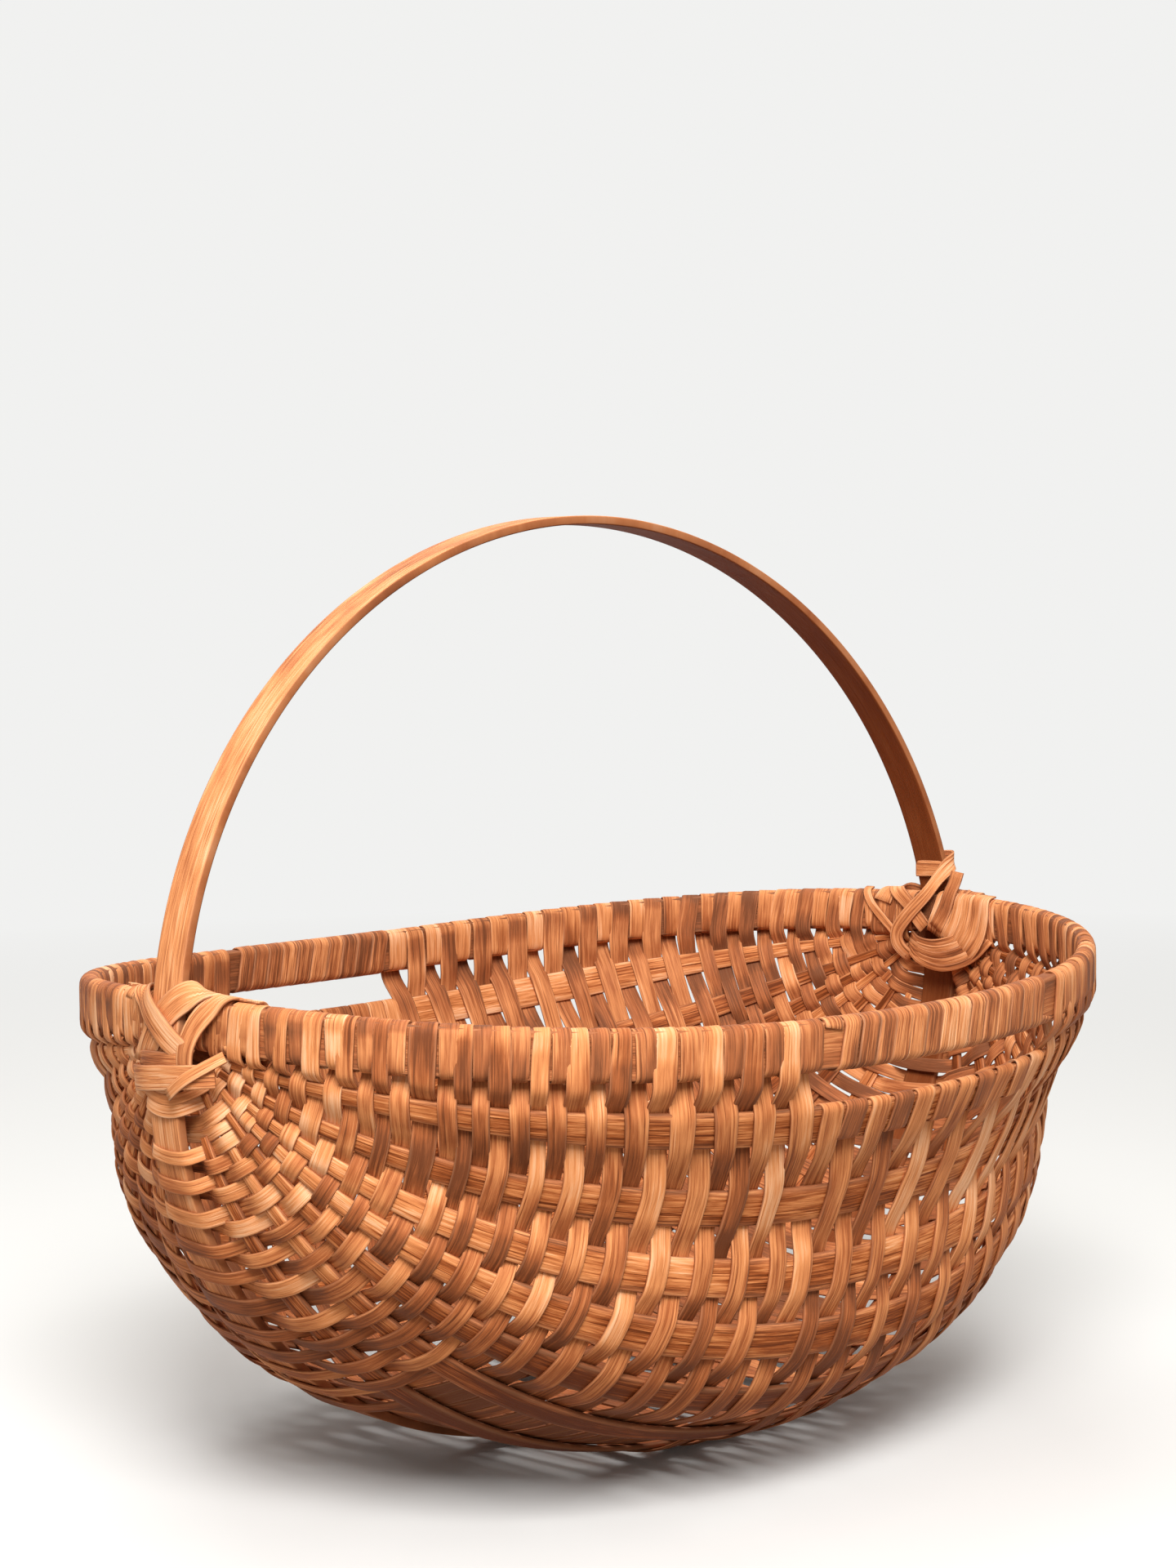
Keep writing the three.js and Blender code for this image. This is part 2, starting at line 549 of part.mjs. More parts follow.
// Least distance of a wound strip to itself, along its edges and the middles of its two faces
function leastSelfGap(rings, width) {
  const rows = rings.map((r) => [...r, mix(r[0], r[1], 0.5), mix(r[2], r[3], 0.5)]);
  const centre = rings.map((r) => mix(r[0], r[2], 0.5));
  const reach = [0];
  for (let i = 1; i < centre.length; i++) reach.push(reach[i - 1] + length(sub(centre[i], centre[i - 1])));
  let least = Infinity;
  for (let i = 0; i + 1 < rows.length; i++) {
    for (let j = i + 1; j + 1 < rows.length; j++) {
      if (reach[j] - reach[i + 1] < SELF_REACH * width) continue;
      if (length(sub(centre[i], centre[j])) > SELF_NEAR * width) continue;
      for (let m = 0; m < 6; m++) {
        for (let n = 0; n < 6; n++) {
          least = Math.min(least, pieceDistance(rows[i][m], rows[i + 1][m], rows[j][n], rows[j + 1][n]));
        }
      }
    }
  }
  return least;
}

const woods = {
  hoop: { color: 0x9c6238, roughness: 0.6 },
  rim: { color: 0x8f5930, roughness: 0.65 },
  rib: { color: 0xa86f3f, roughness: 0.65 },
  weave: { color: 0xb0763f, roughness: 0.7 },
  wrap: { color: 0xb67f4c, roughness: 0.7 },
};
const group = new THREE.Group();
group.name = 'rib_basket';
const hoop = hoopRings();
const spine = sweep(hoop.spine, false);
spine.computeBoundingBox();
const standHeight = -spine.boundingBox.min.z;
function place(name, geometry, wood) {
  geometry.translate(0, 0, standHeight);
  const mesh = new THREE.Mesh(geometry, new THREE.MeshStandardMaterial({ name: `${name}_wood`, ...woods[wood] }));
  mesh.name = name;
  group.add(mesh);
}

place('handle_hoop', sweep(hoop.handle, false), 'hoop');
place('spine_hoop', spine, 'hoop');
place('rim_hoop', rimGeometry(), 'rim');
for (let i = 0; i < RIB_ANGLES.length; i++) {
  place(`near_rib_${i + 1}`, ribGeometry(i, false), 'rib');
  place(`far_rib_${i + 1}`, ribGeometry(i, true), 'rib');
}
for (const [side, bands] of Object.entries(weaves)) {
  bands.forEach((rows, i) => place(`${side}_weave_${i + 1}`, wallGeometry(rows, side !== 'middle'), 'weave'));
}

const half = rimLength / 2, rest = SECTION_GAP;
place('far_right_rim_wrap', sleeveGeometry(EAR_CLEAR, runAtX(FAR_HOLD[1], true) - rest), 'wrap');
place('far_left_rim_wrap', sleeveGeometry(runAtX(FAR_HOLD[0], true) + rest, half - EAR_CLEAR), 'wrap');
place('near_left_rim_wrap', sleeveGeometry(half + EAR_CLEAR, runAtX(NEAR_HOLD[0], false) - rest), 'wrap');
place('near_right_rim_wrap', sleeveGeometry(runAtX(NEAR_HOLD[1], false) + rest, rimLength - EAR_CLEAR), 'wrap');
function placeWound(name, rings, width) {
  console.log(name, 'least gap to itself', leastSelfGap(rings, width).toFixed(2));
  place(name, sweep(rings, false), 'wrap');
}
placeWound('near_hold_winding', holdRings(false), HOLD_TAPE_WIDTH);
placeWound('far_hold_winding', holdRings(true), HOLD_TAPE_WIDTH);
placeWound('left_ear_lashing', tapeRings(lashPath(-1), LASH_WIDTH, LASH_THICK), LASH_WIDTH);
placeWound('right_ear_lashing', tapeRings(lashPath(1), LASH_WIDTH, LASH_THICK), LASH_WIDTH);
place('left_ear_band', sweep(earBandRings(-1), false), 'wrap');
place('right_ear_band', sweep(earBandRings(1), false), 'wrap');
console.log('rim height', standHeight.toFixed(3));

export default group;
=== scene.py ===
# Split-wood rib basket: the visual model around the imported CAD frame
import math

import bpy
import numpy as np
from mathutils import Matrix, Vector


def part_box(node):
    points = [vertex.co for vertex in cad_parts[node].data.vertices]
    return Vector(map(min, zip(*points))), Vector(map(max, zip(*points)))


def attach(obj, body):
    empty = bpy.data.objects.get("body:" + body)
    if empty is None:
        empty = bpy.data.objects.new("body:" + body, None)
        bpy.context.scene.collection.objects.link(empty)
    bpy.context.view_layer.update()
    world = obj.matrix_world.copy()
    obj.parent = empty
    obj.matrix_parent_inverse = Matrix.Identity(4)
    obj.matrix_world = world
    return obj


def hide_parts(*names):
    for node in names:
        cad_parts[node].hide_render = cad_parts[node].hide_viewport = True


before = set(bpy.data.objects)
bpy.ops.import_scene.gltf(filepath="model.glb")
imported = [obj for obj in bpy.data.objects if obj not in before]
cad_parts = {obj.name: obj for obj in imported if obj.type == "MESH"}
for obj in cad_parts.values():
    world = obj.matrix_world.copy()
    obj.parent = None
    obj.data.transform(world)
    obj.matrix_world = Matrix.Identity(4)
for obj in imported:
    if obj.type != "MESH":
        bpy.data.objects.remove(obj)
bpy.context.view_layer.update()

# Sizes are in mm, with z from the middle of the rim. MM is metres in a millimetre, RIM_Z the rim's height
MM = 0.001
rim_low, rim_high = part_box("rim_hoop")
RIM_Z = (rim_low[2] + rim_high[2]) / 2 / MM
UP = np.array([0.0, 0.0, 1.0])
SEED = 11
SPINE_ANGLE = 90
HALF_TURN = 180

# Hoops, as in the CAD source. Waves, here and below, are size and number, a look is grain seed and shade
RIM_LENGTH_HALF = 195.5
RIM_WIDTH_HALF = 148.5
RIM_TALL = 15.6
RIM_THICK = 5.4
RIM_STATIONS = 260
RIM_LOOK = (0.3, 0.35)
SADDLE = 5.6
HOOP_WIDE = 14.5
HOOP_THICK = 3.2
HOOP_SPAN_HALF = 202.6
HOOP_TOP = 168.0
HOOP_EXPONENT = 1.966
HOOP_LEAN = 0.074
HOOP_PART_STATIONS = 170
HOOP_STATIONS = 300
HOOP_SOFTENINGS = 6
HOOP_WAVES = (0.012, 14)
HOOP_LOOK = (0.7, 0.5)

# Belly, as in the CAD source: depths and roundness at even steps down from the near rim
DEPTHS = [148.5, 141.6, 170.6, 174.8, 170.6]
DEPTH_STEP = 22.5
EXPONENTS = [2.379, 2.19, 2.02, 2.16]
EXPONENT_STEP = 30.0
BULGE = 2.8
LOW_CENTRE = 18.0
LOW_POWER = 4
# How far outside the belly the spine starts, and the height over which this fades
HOOP_EAR_STEP = HOOP_SPAN_HALF - RIM_LENGTH_HALF - BULGE
HOOP_SETTLE = 90.0
SIDE_SHIFT = 5.8
SHIFT_DEPTH = 165.0
WALL_TOP = 9.3
T_MARGIN = 1e-3
FINE_STATIONS = 1400
T_STEP = 1e-4
DEGREE_STEP = 0.02

# Ribs. Most start nearer the ears than in the CAD source, whose solids have to stay clear of each other
RIB_ANGLES = [7.0, 20.4, 30.7, 38.8, 48.2, 59.0, 72.0]
RIB_START = [17, 15, 34, 14, 30, 18, 32]
RIB_GROWTH = 0.085
RIB_NARROWEST = 2.6
RIB_WIDEST = 13.0
RIB_THINNEST = 1.6
RIB_THICKENS = 0.8
RIB_THICK_REACH = 120
RIB_STATIONS = 84
RIB_WAVES = (0.02, 8)
SPINE_NUMBER = len(RIB_ANGLES) + 1

# The weave starts at a radius round each fan of ribs, whose centre is under an ear. x of the holds' ends
FAN_RADIUS = 24.0
FAN_DROP = 6.0
NEAR_HOLD = [-54.0, 76.0]
FAR_HOLD = [-68.0, 20.0]
# Drift along x of the rows at both edges of a hold: size, and angles between which it comes in
EDGE_DRIFTS = [[(12.0, 0, 20), (-7.0, 28, 48), (-5.0, 50, 90)], [(-12.0, 6, 40), (12.0, 50, 90)]]

# Splits: thickness, the air under them, and width
SPLIT_THICK = 0.9
SPLIT_HALF = SPLIT_THICK / 2
REST = 0.15
NARROWEST = 2.8
WIDEST = 9.6
SPLIT_WAVES = (0.03, 12)
SPLIT_WIDTHS = (0.95, 1.05)
SPLIT_SHADES = (0.0, 1.05)
SHADE_WAVES = (0.12, 9)
# Painted shade where a split dips under a rib
DIP_PAINTED_SHADE = 0.5
# Loops round the rim and round the first rib: half their width and height, and the radius of their corners
ROUND_CORE = REST + SPLIT_HALF
RIM_LOOP = (RIM_THICK / 2 + ROUND_CORE, RIM_TALL / 2 + ROUND_CORE, 3.0)
RIB_LOOP = ((RIB_THINNEST + RIB_THICKENS) / 2 + ROUND_CORE, RIB_WIDEST / 2 + ROUND_CORE, 1.3)
LOOP_CORNER_STATIONS = 6
LOOP_END = 0.2
# Painted shade on the face of a loop that turns inward
LOOP_PAINTED_SHADE = 0.6

# Path of a split: its step, how far it is softened, and the longest step and sharpest turn that are kept
SOFTENING_REACH = 3
LEAST_STATIONS = 8
WEAVE_PATH = {"step": 0.8, "soften": 1.4, "longest": 4.0, "turn": 17.0}
EAR_PATH = {"step": 0.6, "soften": 1.2, "longest": 3.0, "turn": 13.0}

# Sections of a split, a rib and a hoop, as shares of the width and of the thickness
SECTION = np.array([
    (-0.5, -0.3), (-0.5, 0.22), (-0.465, 0.44), (-0.36, 0.5), (0.36, 0.5),
    (0.465, 0.44), (0.5, 0.22), (0.5, -0.3), (0.4, -0.5), (-0.4, -0.5)])
RIB_SECTION = np.array([
    (-0.5, 0.0), (-0.485, 0.28), (-0.44, 0.42), (-0.2, 0.5), (0.2, 0.5), (0.44, 0.42),
    (0.485, 0.28), (0.5, 0.0), (0.46, -0.3), (0.2, -0.5), (-0.2, -0.5), (-0.46, -0.3)])
HOOP_SECTION = np.array([
    (-0.5, -0.34), (-0.5, 0.34), (-0.488, 0.46), (-0.46, 0.5), (-0.4, 0.5), (0.4, 0.5),
    (0.46, 0.5), (0.488, 0.46), (0.5, 0.34), (0.5, -0.34), (0.488, -0.46), (0.46, -0.5),
    (0.4, -0.5), (-0.4, -0.5), (-0.46, -0.5), (-0.488, -0.46)])
# What lies above this share of the thickness counts as the outer face
OUTER_FROM = -0.45
# How far apart the grain of two strips is read, for a seed from 0 to 1
GRAIN_SPREAD = 37.0


def unit(v):
    return v / np.linalg.norm(v, axis=-1, keepdims=True)


def signed_power(v, e):
    return np.sign(v) * np.abs(v) ** e


def smooth(v):
    k = np.clip(v, 0, 1)
    return k * k * (3 - 2 * k)


def rising(v, size, start, stop):
    """Smooth step from 0 at start to a size at stop."""
    return size * smooth((v - start) / (stop - start))


def curve(k, before, a, b, after):
    """Smooth curve from a to b for k from 0 to 1, which also heeds the values before and after them."""
    k2, k3 = k * k, k * k * k
    a_slope, b_slope = (b - before) / 2, (after - a) / 2
    from_a = (2 * k3 - 3 * k2 + 1) * a + (k3 - 2 * k2 + k) * a_slope
    return from_a + (3 * k2 - 2 * k3) * b + (k3 - k2) * b_slope


def summed(steps):
    return np.concatenate([[0], np.cumsum(steps)])


def run_along(points):
    """Length along a path, up to each of its points."""
    return summed(np.linalg.norm(np.diff(points, axis=0), axis=1))


def read_at(at, places, values):
    """Each column of the values, read at new places."""
    return np.stack([np.interp(at, places, column) for column in values.T], -1)


def on_knots(values, step, degrees):
    """Value on evenly spaced knots, mirrored at the last knot."""
    folded = np.where(degrees > SPINE_ANGLE, HALF_TURN - degrees, degrees)
    last = len(values) - 1
    heights = np.array([2 * values[0] - values[1], *values, values[last - 1], values[last - 2]])
    f = np.clip(folded, 0, SPINE_ANGLE) / step
    i = np.clip(np.floor(f).astype(int), 0, last - 1)
    return curve(f - i, *(heights[i + j] for j in range(4)))


def saddle(x, y):
    """How far the rim rises at its ears and dips at its long sides."""
    a, b = (x / RIM_LENGTH_HALF) ** 2, (y / RIM_WIDTH_HALF) ** 2
    return SADDLE * (a - b) / (a + b + 1e-9)


def belly(t, degrees):
    """Point of the belly: t runs from the left ear to the right one, degrees from the near rim to the far."""
    t, degrees = np.broadcast_arrays(np.asarray(t, float), np.asarray(degrees, float))
    side, down = np.cos(np.radians(degrees)), np.sin(np.radians(degrees))
    low = down ** LOW_POWER
    exponent = on_knots(EXPONENTS, EXPONENT_STEP, degrees)
    centre = LOW_CENTRE * low
    deep = on_knots(DEPTHS, DEPTH_STEP, degrees) - centre
    x = -(RIM_LENGTH_HALF + BULGE * low) * signed_power(np.cos(t), 2 / exponent)
    r = centre + deep * signed_power(np.sin(t), 2 / exponent)
    y = -r * side + SIDE_SHIFT * r * down / SHIFT_DEPTH
    z = -r * down + (saddle(x, r) - WALL_TOP) * side * side + SADDLE * down * down
    return np.stack([x, y, z], -1)


def belly_frame(t, degrees):
    """Point, direction along the rib, outward normal and mm per degree."""
    along = (belly(t + T_STEP, degrees) - belly(t - T_STEP, degrees)) / (2 * T_STEP)
    low, high = (np.clip(degrees + step, 0, HALF_TURN) for step in (-DEGREE_STEP, DEGREE_STEP))
    across = (belly(t, high) - belly(t, low)) / (high - low)[..., None]
    return belly(t, degrees), unit(along), unit(np.cross(across, along)), np.linalg.norm(across, axis=-1)


EARS = np.array([(end * RIM_LENGTH_HALF, 0, SADDLE - FAN_DROP) for end in (-1, 1)])


def ear_distance(p):
    return np.minimum(np.linalg.norm(p - EARS[0], axis=-1), np.linalg.norm(p - EARS[1], axis=-1))


def hoop_step(z):
    """How far outside the belly the spine lies at a height."""
    return HOOP_EAR_STEP * (1 - smooth((SADDLE - LOW_CENTRE - z) / HOOP_SETTLE))


# Lines along the belly at whole degrees, and the length along each of them
ANGLES = np.linspace(0, HALF_TURN, HALF_TURN + 1)
T_FINE = np.linspace(T_MARGIN, math.pi - T_MARGIN, FINE_STATIONS)
RIB_LINES = belly(T_FINE[None, :], ANGLES[:, None])
LENGTHS = np.stack([run_along(line) for line in RIB_LINES])


def edge_drift(edge, angle):
    return sum(rising(angle, *drift) for drift in EDGE_DRIFTS[edge])


def length_marks():
    """Length along each line where the left, middle and right rows start, and where the right ones end."""
    marks = np.zeros((len(ANGLES), 4))
    middle = len(T_FINE) // 2
    for i, angle in enumerate(ANGLES):
        line, run = RIB_LINES[i], LENGTHS[i]
        left = np.linalg.norm(line[:middle] - EARS[0], axis=-1)
        right = np.linalg.norm(line[middle:] - EARS[1], axis=-1)
        marks[i, 0] = np.interp(FAN_RADIUS, left, run[:middle])
        marks[i, 3] = np.interp(FAN_RADIUS, right[::-1], run[middle:][::-1])
        for j in (0, 1):
            edge = NEAR_HOLD[j] + (FAR_HOLD[j] - NEAR_HOLD[j]) * angle / HALF_TURN + edge_drift(j, angle)
            marks[i, 1 + j] = np.interp(edge, line[:, 0], run)
    return marks


MARKS = length_marks()


def t_at_length(angles, lengths):
    low = np.clip(np.floor(angles).astype(int), 0, len(ANGLES) - 2)
    share = angles - low
    out = np.empty(len(angles))
    for n in range(len(angles)):
        a = np.interp(lengths[n], LENGTHS[low[n]], T_FINE)
        b = np.interp(lengths[n], LENGTHS[low[n] + 1], T_FINE)
        out[n] = a + (b - a) * share[n]
    return out


def rib_width(d):
    return np.clip(RIB_GROWTH * d, RIB_NARROWEST, RIB_WIDEST)


def rib_thick(d):
    return RIB_THINNEST + RIB_THICKENS * np.minimum(1, d / RIB_THICK_REACH)


def add_object(name, data):
    made = bpy.data.objects.new(name, data)
    bpy.context.scene.collection.objects.link(made)
    return made


def make_piece(name, parts, material, nodes):
    """Mesh object of one piece, which replaces the given CAD nodes."""
    verts, faces, grain, tint = parts
    mesh = bpy.data.meshes.new(name)
    points = (verts + UP * RIM_Z) * MM
    mesh.from_pydata(points.tolist(), [], faces)
    mesh.polygons.foreach_set("use_smooth", [True] * len(mesh.polygons))
    for key, values in (("grain", grain), ("tint", tint)):
        attribute = mesh.attributes.new(key, "FLOAT_VECTOR", "POINT")
        attribute.data.foreach_set("vector", values.astype(np.float32).ravel())
    mesh.materials.append(material)
    piece = add_object(name, mesh)
    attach(piece, "root")
    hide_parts(*nodes)


def faces_inward(verts, quads):
    """Whether the volume that the quads close in comes out below zero."""
    centred = verts - verts.mean(0)
    a, b, c, d = (centred[quads[:, i]] for i in range(4))
    return np.einsum("ij,ij->", a, np.cross(b, c) + np.cross(c, d)) < 0


def strip_parts(points, normals, width, thick, seed, shade, section=SECTION, closed=False, side=None):
    """Vertices, faces, grain and tint of a strip: rings of a flat section along a path."""
    n, m = len(points), len(section)
    if closed:
        tangent = unit(np.roll(points, -1, 0) - np.roll(points, 1, 0))
    else:
        tangent = unit(np.gradient(points, axis=0))
    if side is None:
        side = unit(np.cross(tangent, normals))
    normal = unit(np.cross(side, tangent))
    wide = section[None, :, 0] * np.broadcast_to(width, (n,))[:, None]
    tall = section[None, :, 1] * np.broadcast_to(thick, (n,))[:, None]
    verts = points[:, None] + side[:, None] * wide[..., None] + normal[:, None] * tall[..., None]
    verts = verts.reshape(-1, 3)
    grain = np.stack([np.repeat(run_along(points), m), wide.ravel(), np.full(n * m, seed * GRAIN_SPREAD)], -1)
    edge = np.tile(np.abs(section[:, 0]) * 2, n)
    outer = np.tile(np.where(section[:, 1] > OUTER_FROM, 1.0, 0.0), n)
    tint = np.stack([np.repeat(np.broadcast_to(shade, (n,)), m), edge, outer], -1)
    faces = []
    for i in range(n if closed else n - 1):
        a, b = i * m, ((i + 1) % n) * m
        faces += [(a + j, a + (j + 1) % m, b + (j + 1) % m, b + j) for j in range(m)]
    quads = np.array(faces)
    if not closed:
        faces.append(tuple(range(m - 1, -1, -1)))
        faces.append(tuple(range((n - 1) * m, n * m)))
    if faces_inward(verts, quads):
        faces = [f[::-1] for f in faces]
    return verts, faces, grain, tint


def softened(values, kernel):
    """Columns smoothed by a kernel, turned round at both ends, so that the ends stay."""
    reach = len(kernel) // 2
    before = 2 * values[:1] - values[reach:0:-1]
    after = 2 * values[-1:] - values[-2:-reach - 2:-1]
    padded = np.concatenate([before, values, after])
    return np.stack([np.convolve(column, kernel, "valid") for column in padded.T], -1)


def split_path(points, normals, step, soften, longest, turn):
    """A softened path with close stations where it bends and few where it is straight, and their places."""
    run = run_along(points)
    at = np.linspace(0, run[-1], max(LEAST_STATIONS, int(run[-1] / step)))
    reach = int(SOFTENING_REACH * soften / step) + 1
    kernel = np.exp(-0.5 * (np.arange(-reach, reach + 1) * step / soften) ** 2)
    kernel /= kernel.sum()
    fine = softened(read_at(at, run, points), kernel)
    fine_normals = unit(softened(read_at(at, run, normals), kernel))
    tangent = unit(np.gradient(fine, axis=0))
    bend = np.degrees(np.arccos(np.clip((tangent[1:] * tangent[:-1]).sum(1), -1, 1)))
    length = np.linalg.norm(np.diff(fine, axis=0), axis=1)
    cost = summed(length / longest + bend / turn)
    index = np.interp(np.linspace(0, cost[-1], int(cost[-1]) + 2), cost, np.arange(len(fine)))
    every = np.arange(len(fine))
    return read_at(index, every, fine), unit(read_at(index, every, fine_normals)), index / (len(fine) - 1)


def wavy(rng, n, size, waves):
    """Slow random wander over n stations."""
    heights = rng.normal(0, size, waves + 3)
    x = np.linspace(0, waves, n)
    i = np.floor(np.clip(x, 0, waves - 1e-6)).astype(int)
    k = smooth(x - i)
    return heights[i] * (1 - k) + heights[i + 1] * k


def round_corners(wide, tall, radius, count, stations):
    """Places and directions out and up, round the first corners of an oblong from its upper outer one."""
    corner = np.radians(np.linspace(0, 90, stations))
    c, s = np.cos(corner), np.sin(corner)
    toward_out = np.concatenate([c, -s, -c, s][:count])
    toward_up = np.concatenate([s, c, -s, -c][:count])
    out_sign = np.repeat([1, -1, -1, 1][:count], stations)
    up_sign = np.repeat([1, 1, -1, -1][:count], stations)
    out = out_sign * (wide - radius) + radius * toward_out
    up = up_sign * (tall - radius) + radius * toward_up
    return out, up, toward_out, toward_up


def split_loop(centre, out, up, along, wide, tall, radius, inside, skew, lean):
    """Path, normals and painted shade of a split's loop, from its lower outer corner, or its lower inner one.
    """
    n, z, toward_out, toward_up = round_corners(wide, tall, radius, 3, LOOP_CORNER_STATIONS)
    n = np.concatenate([[wide], n, [wide * LOOP_END]])
    z = np.concatenate([[radius - tall], z, [-tall]])
    toward_out = np.concatenate([[1], toward_out, [0]])
    toward_up = np.concatenate([[0], toward_up, [-1]])
    if inside:
        # From the inner side, the face that looks out on the wall is turned to the core
        n, toward_up = -n, -toward_up
    arc = summed(np.hypot(np.diff(n), np.diff(z)))
    slide = lean * np.minimum(arc, 2 * tall) + skew * arc / arc[-1]
    points = centre + out * n[:, None] + up * z[:, None] + along * slide[:, None]
    normals = out * toward_out[:, None] + up * toward_up[:, None]
    # Painted shade on the faces that turn inward
    return points, normals, LOOP_PAINTED_SHADE * np.clip(-toward_out, 0, 1)


# Sections of the weave along the basket
SECTIONS = ["left", "middle", "right"]
MIDDLE = 1
# Ribs that stay bare outside: number, and x range on the near side. The far side is turned half round
BARE = [(6, -144, -29), (7, -138, -40)]
SPINE_BARE = 125.0
# Share of a rib's width, to each side of its middle, on which a row lies flat
RIB_PLATEAU = 0.31
SPINE_PLATEAU = 0.5
# How far past a rib's start the first row that goes round it lies
ROW_PAST_START = 1.5
NEAR_RIBS = [(angle, i + 1) for i, angle in enumerate(RIB_ANGLES)]
FAR_RIBS = [(HALF_TURN - angle, number) for angle, number in reversed(NEAR_RIBS)]
ALL_RIBS = NEAR_RIBS + [(SPINE_ANGLE, SPINE_NUMBER)] + FAR_RIBS
# A row: degrees between its stations, and waves of its wander in mm and of its face's tilt in degrees
ROW_STEP = 0.5
ROW_WANDER = (0.3, 9)
ROW_TILT = (4.0, 14)
# Stations over which a row's slope is taken at its ends, and the steepest slope of a loop
SLOPE_STATIONS = 5
RIM_LOOP_SLOPE = 0.22
RIB_LOOP_SLOPE = 0.36
# Mean slant of a loop in mm, and how far it varies
LOOP_SLANT = -0.9
LOOP_SLANT_VARIES = [0.9, 0.9, 1.5]
# Depth in mm at which a split gets its full painted shade under a rib
FULL_DIP = 1.6
# How much fuller a row is under the rim and at the ears, with the angles or mm between which that comes
RIM_FULLER = (0.13, 1, 4)
RIM_FULLER_KEPT = (1, 17, 9)
EAR_FULLER = (0.12, 70, 40)
# How much less full it is low down, and how much narrower in mm its greatest width gets there
LOW_SPARER = (0.07, 45, 70)
LOW_NARROWING = (2.2, 8, 38)


def lengths_at(section, share, angles):
    """Length along each line at a share of a section, and the section's length there."""
    low = np.interp(angles, ANGLES, MARKS[:, section])
    high = np.interp(angles, ANGLES, MARKS[:, section + 1])
    return low + (high - low) * share, high - low


def stepped(x, places, values):
    """Values at places, with a smooth step from each to the next."""
    i = np.clip(np.searchsorted(places, x, "right") - 1, 0, len(places) - 2)
    k = smooth((x - places[i]) / np.maximum(places[i + 1] - places[i], 1e-6))
    return values[i] + (values[i + 1] - values[i]) * k


def crossings(section, share, over_first):
    """Angle, half plateau in degrees and lift of a row at each rib that it meets."""
    angles = np.array([angle for angle, _ in ALL_RIBS])
    t = t_at_length(angles, lengths_at(section, share, angles)[0])
    points, _, _, per_degree = belly_frame(t, angles)
    met, sign = [], 1 if over_first else -1
    for (angle, number), p, degree in zip(ALL_RIBS, points, per_degree):
        d = ear_distance(p)
        spine = number == SPINE_NUMBER
        if not spine and d < RIB_START[number - 1] + ROW_PAST_START:
            continue
        wide, thick = (HOOP_WIDE, HOOP_THICK) if spine else (rib_width(d), rib_thick(d))
        x = p[0] if angle < SPINE_ANGLE else -p[0]
        bare = spine and abs(x) < SPINE_BARE or any(n == number and low < x < high for n, low, high in BARE)
        lift = (-1 if bare else sign) * (thick / 2 + SPLIT_HALF + REST)
        if spine and lift > 0:
            lift += hoop_step(p[2])
        met.append((angle, (SPINE_PLATEAU if spine else RIB_PLATEAU) * wide / degree, lift))
        sign = -sign
    return met


def first_rib_frame(section, share, angle):
    """Frame of the belly where a row reaches the first rib."""
    angles = np.array([angle])
    frames = belly_frame(t_at_length(angles, lengths_at(section, share, angles)[0]), angles)
    return [v[0] for v in frames]


def rib_loop(rib_frame, start, inside, skew, lean):
    """Loop round the first rib, which goes along with the row's own drift."""
    p, along, normal, _ = rib_frame
    up = unit(np.cross(along, normal))
    up = up * np.sign(up[2])
    points, normals, dark = split_loop(p, normal, up, along, *RIB_LOOP, inside, skew, lean)
    return points + along * ((start - points[0]) @ along), normals, dark


def rim_loop(place, along, far, inside, skew, lean):
    out = unit(np.array([along[1], -along[0], 0.0])) * (-1 if far else 1)
    return split_loop(place + UP * WALL_TOP, out, UP, along, *RIM_LOOP, inside, skew, lean)


def fullness(angles, points):
    """Width of a row as a share of its pitch, and the widest that it can be."""
    from_edge = np.minimum(angles, HALF_TURN - angles)
    under_rim = rising(from_edge, *RIM_FULLER) * rising(from_edge, *RIM_FULLER_KEPT)
    at_ears = rising(ear_distance(points), *EAR_FULLER)
    low_down = rising(from_edge, *LOW_SPARER)
    return 1 + under_rim + at_ears - low_down, WIDEST - rising(from_edge, *LOW_NARROWING)


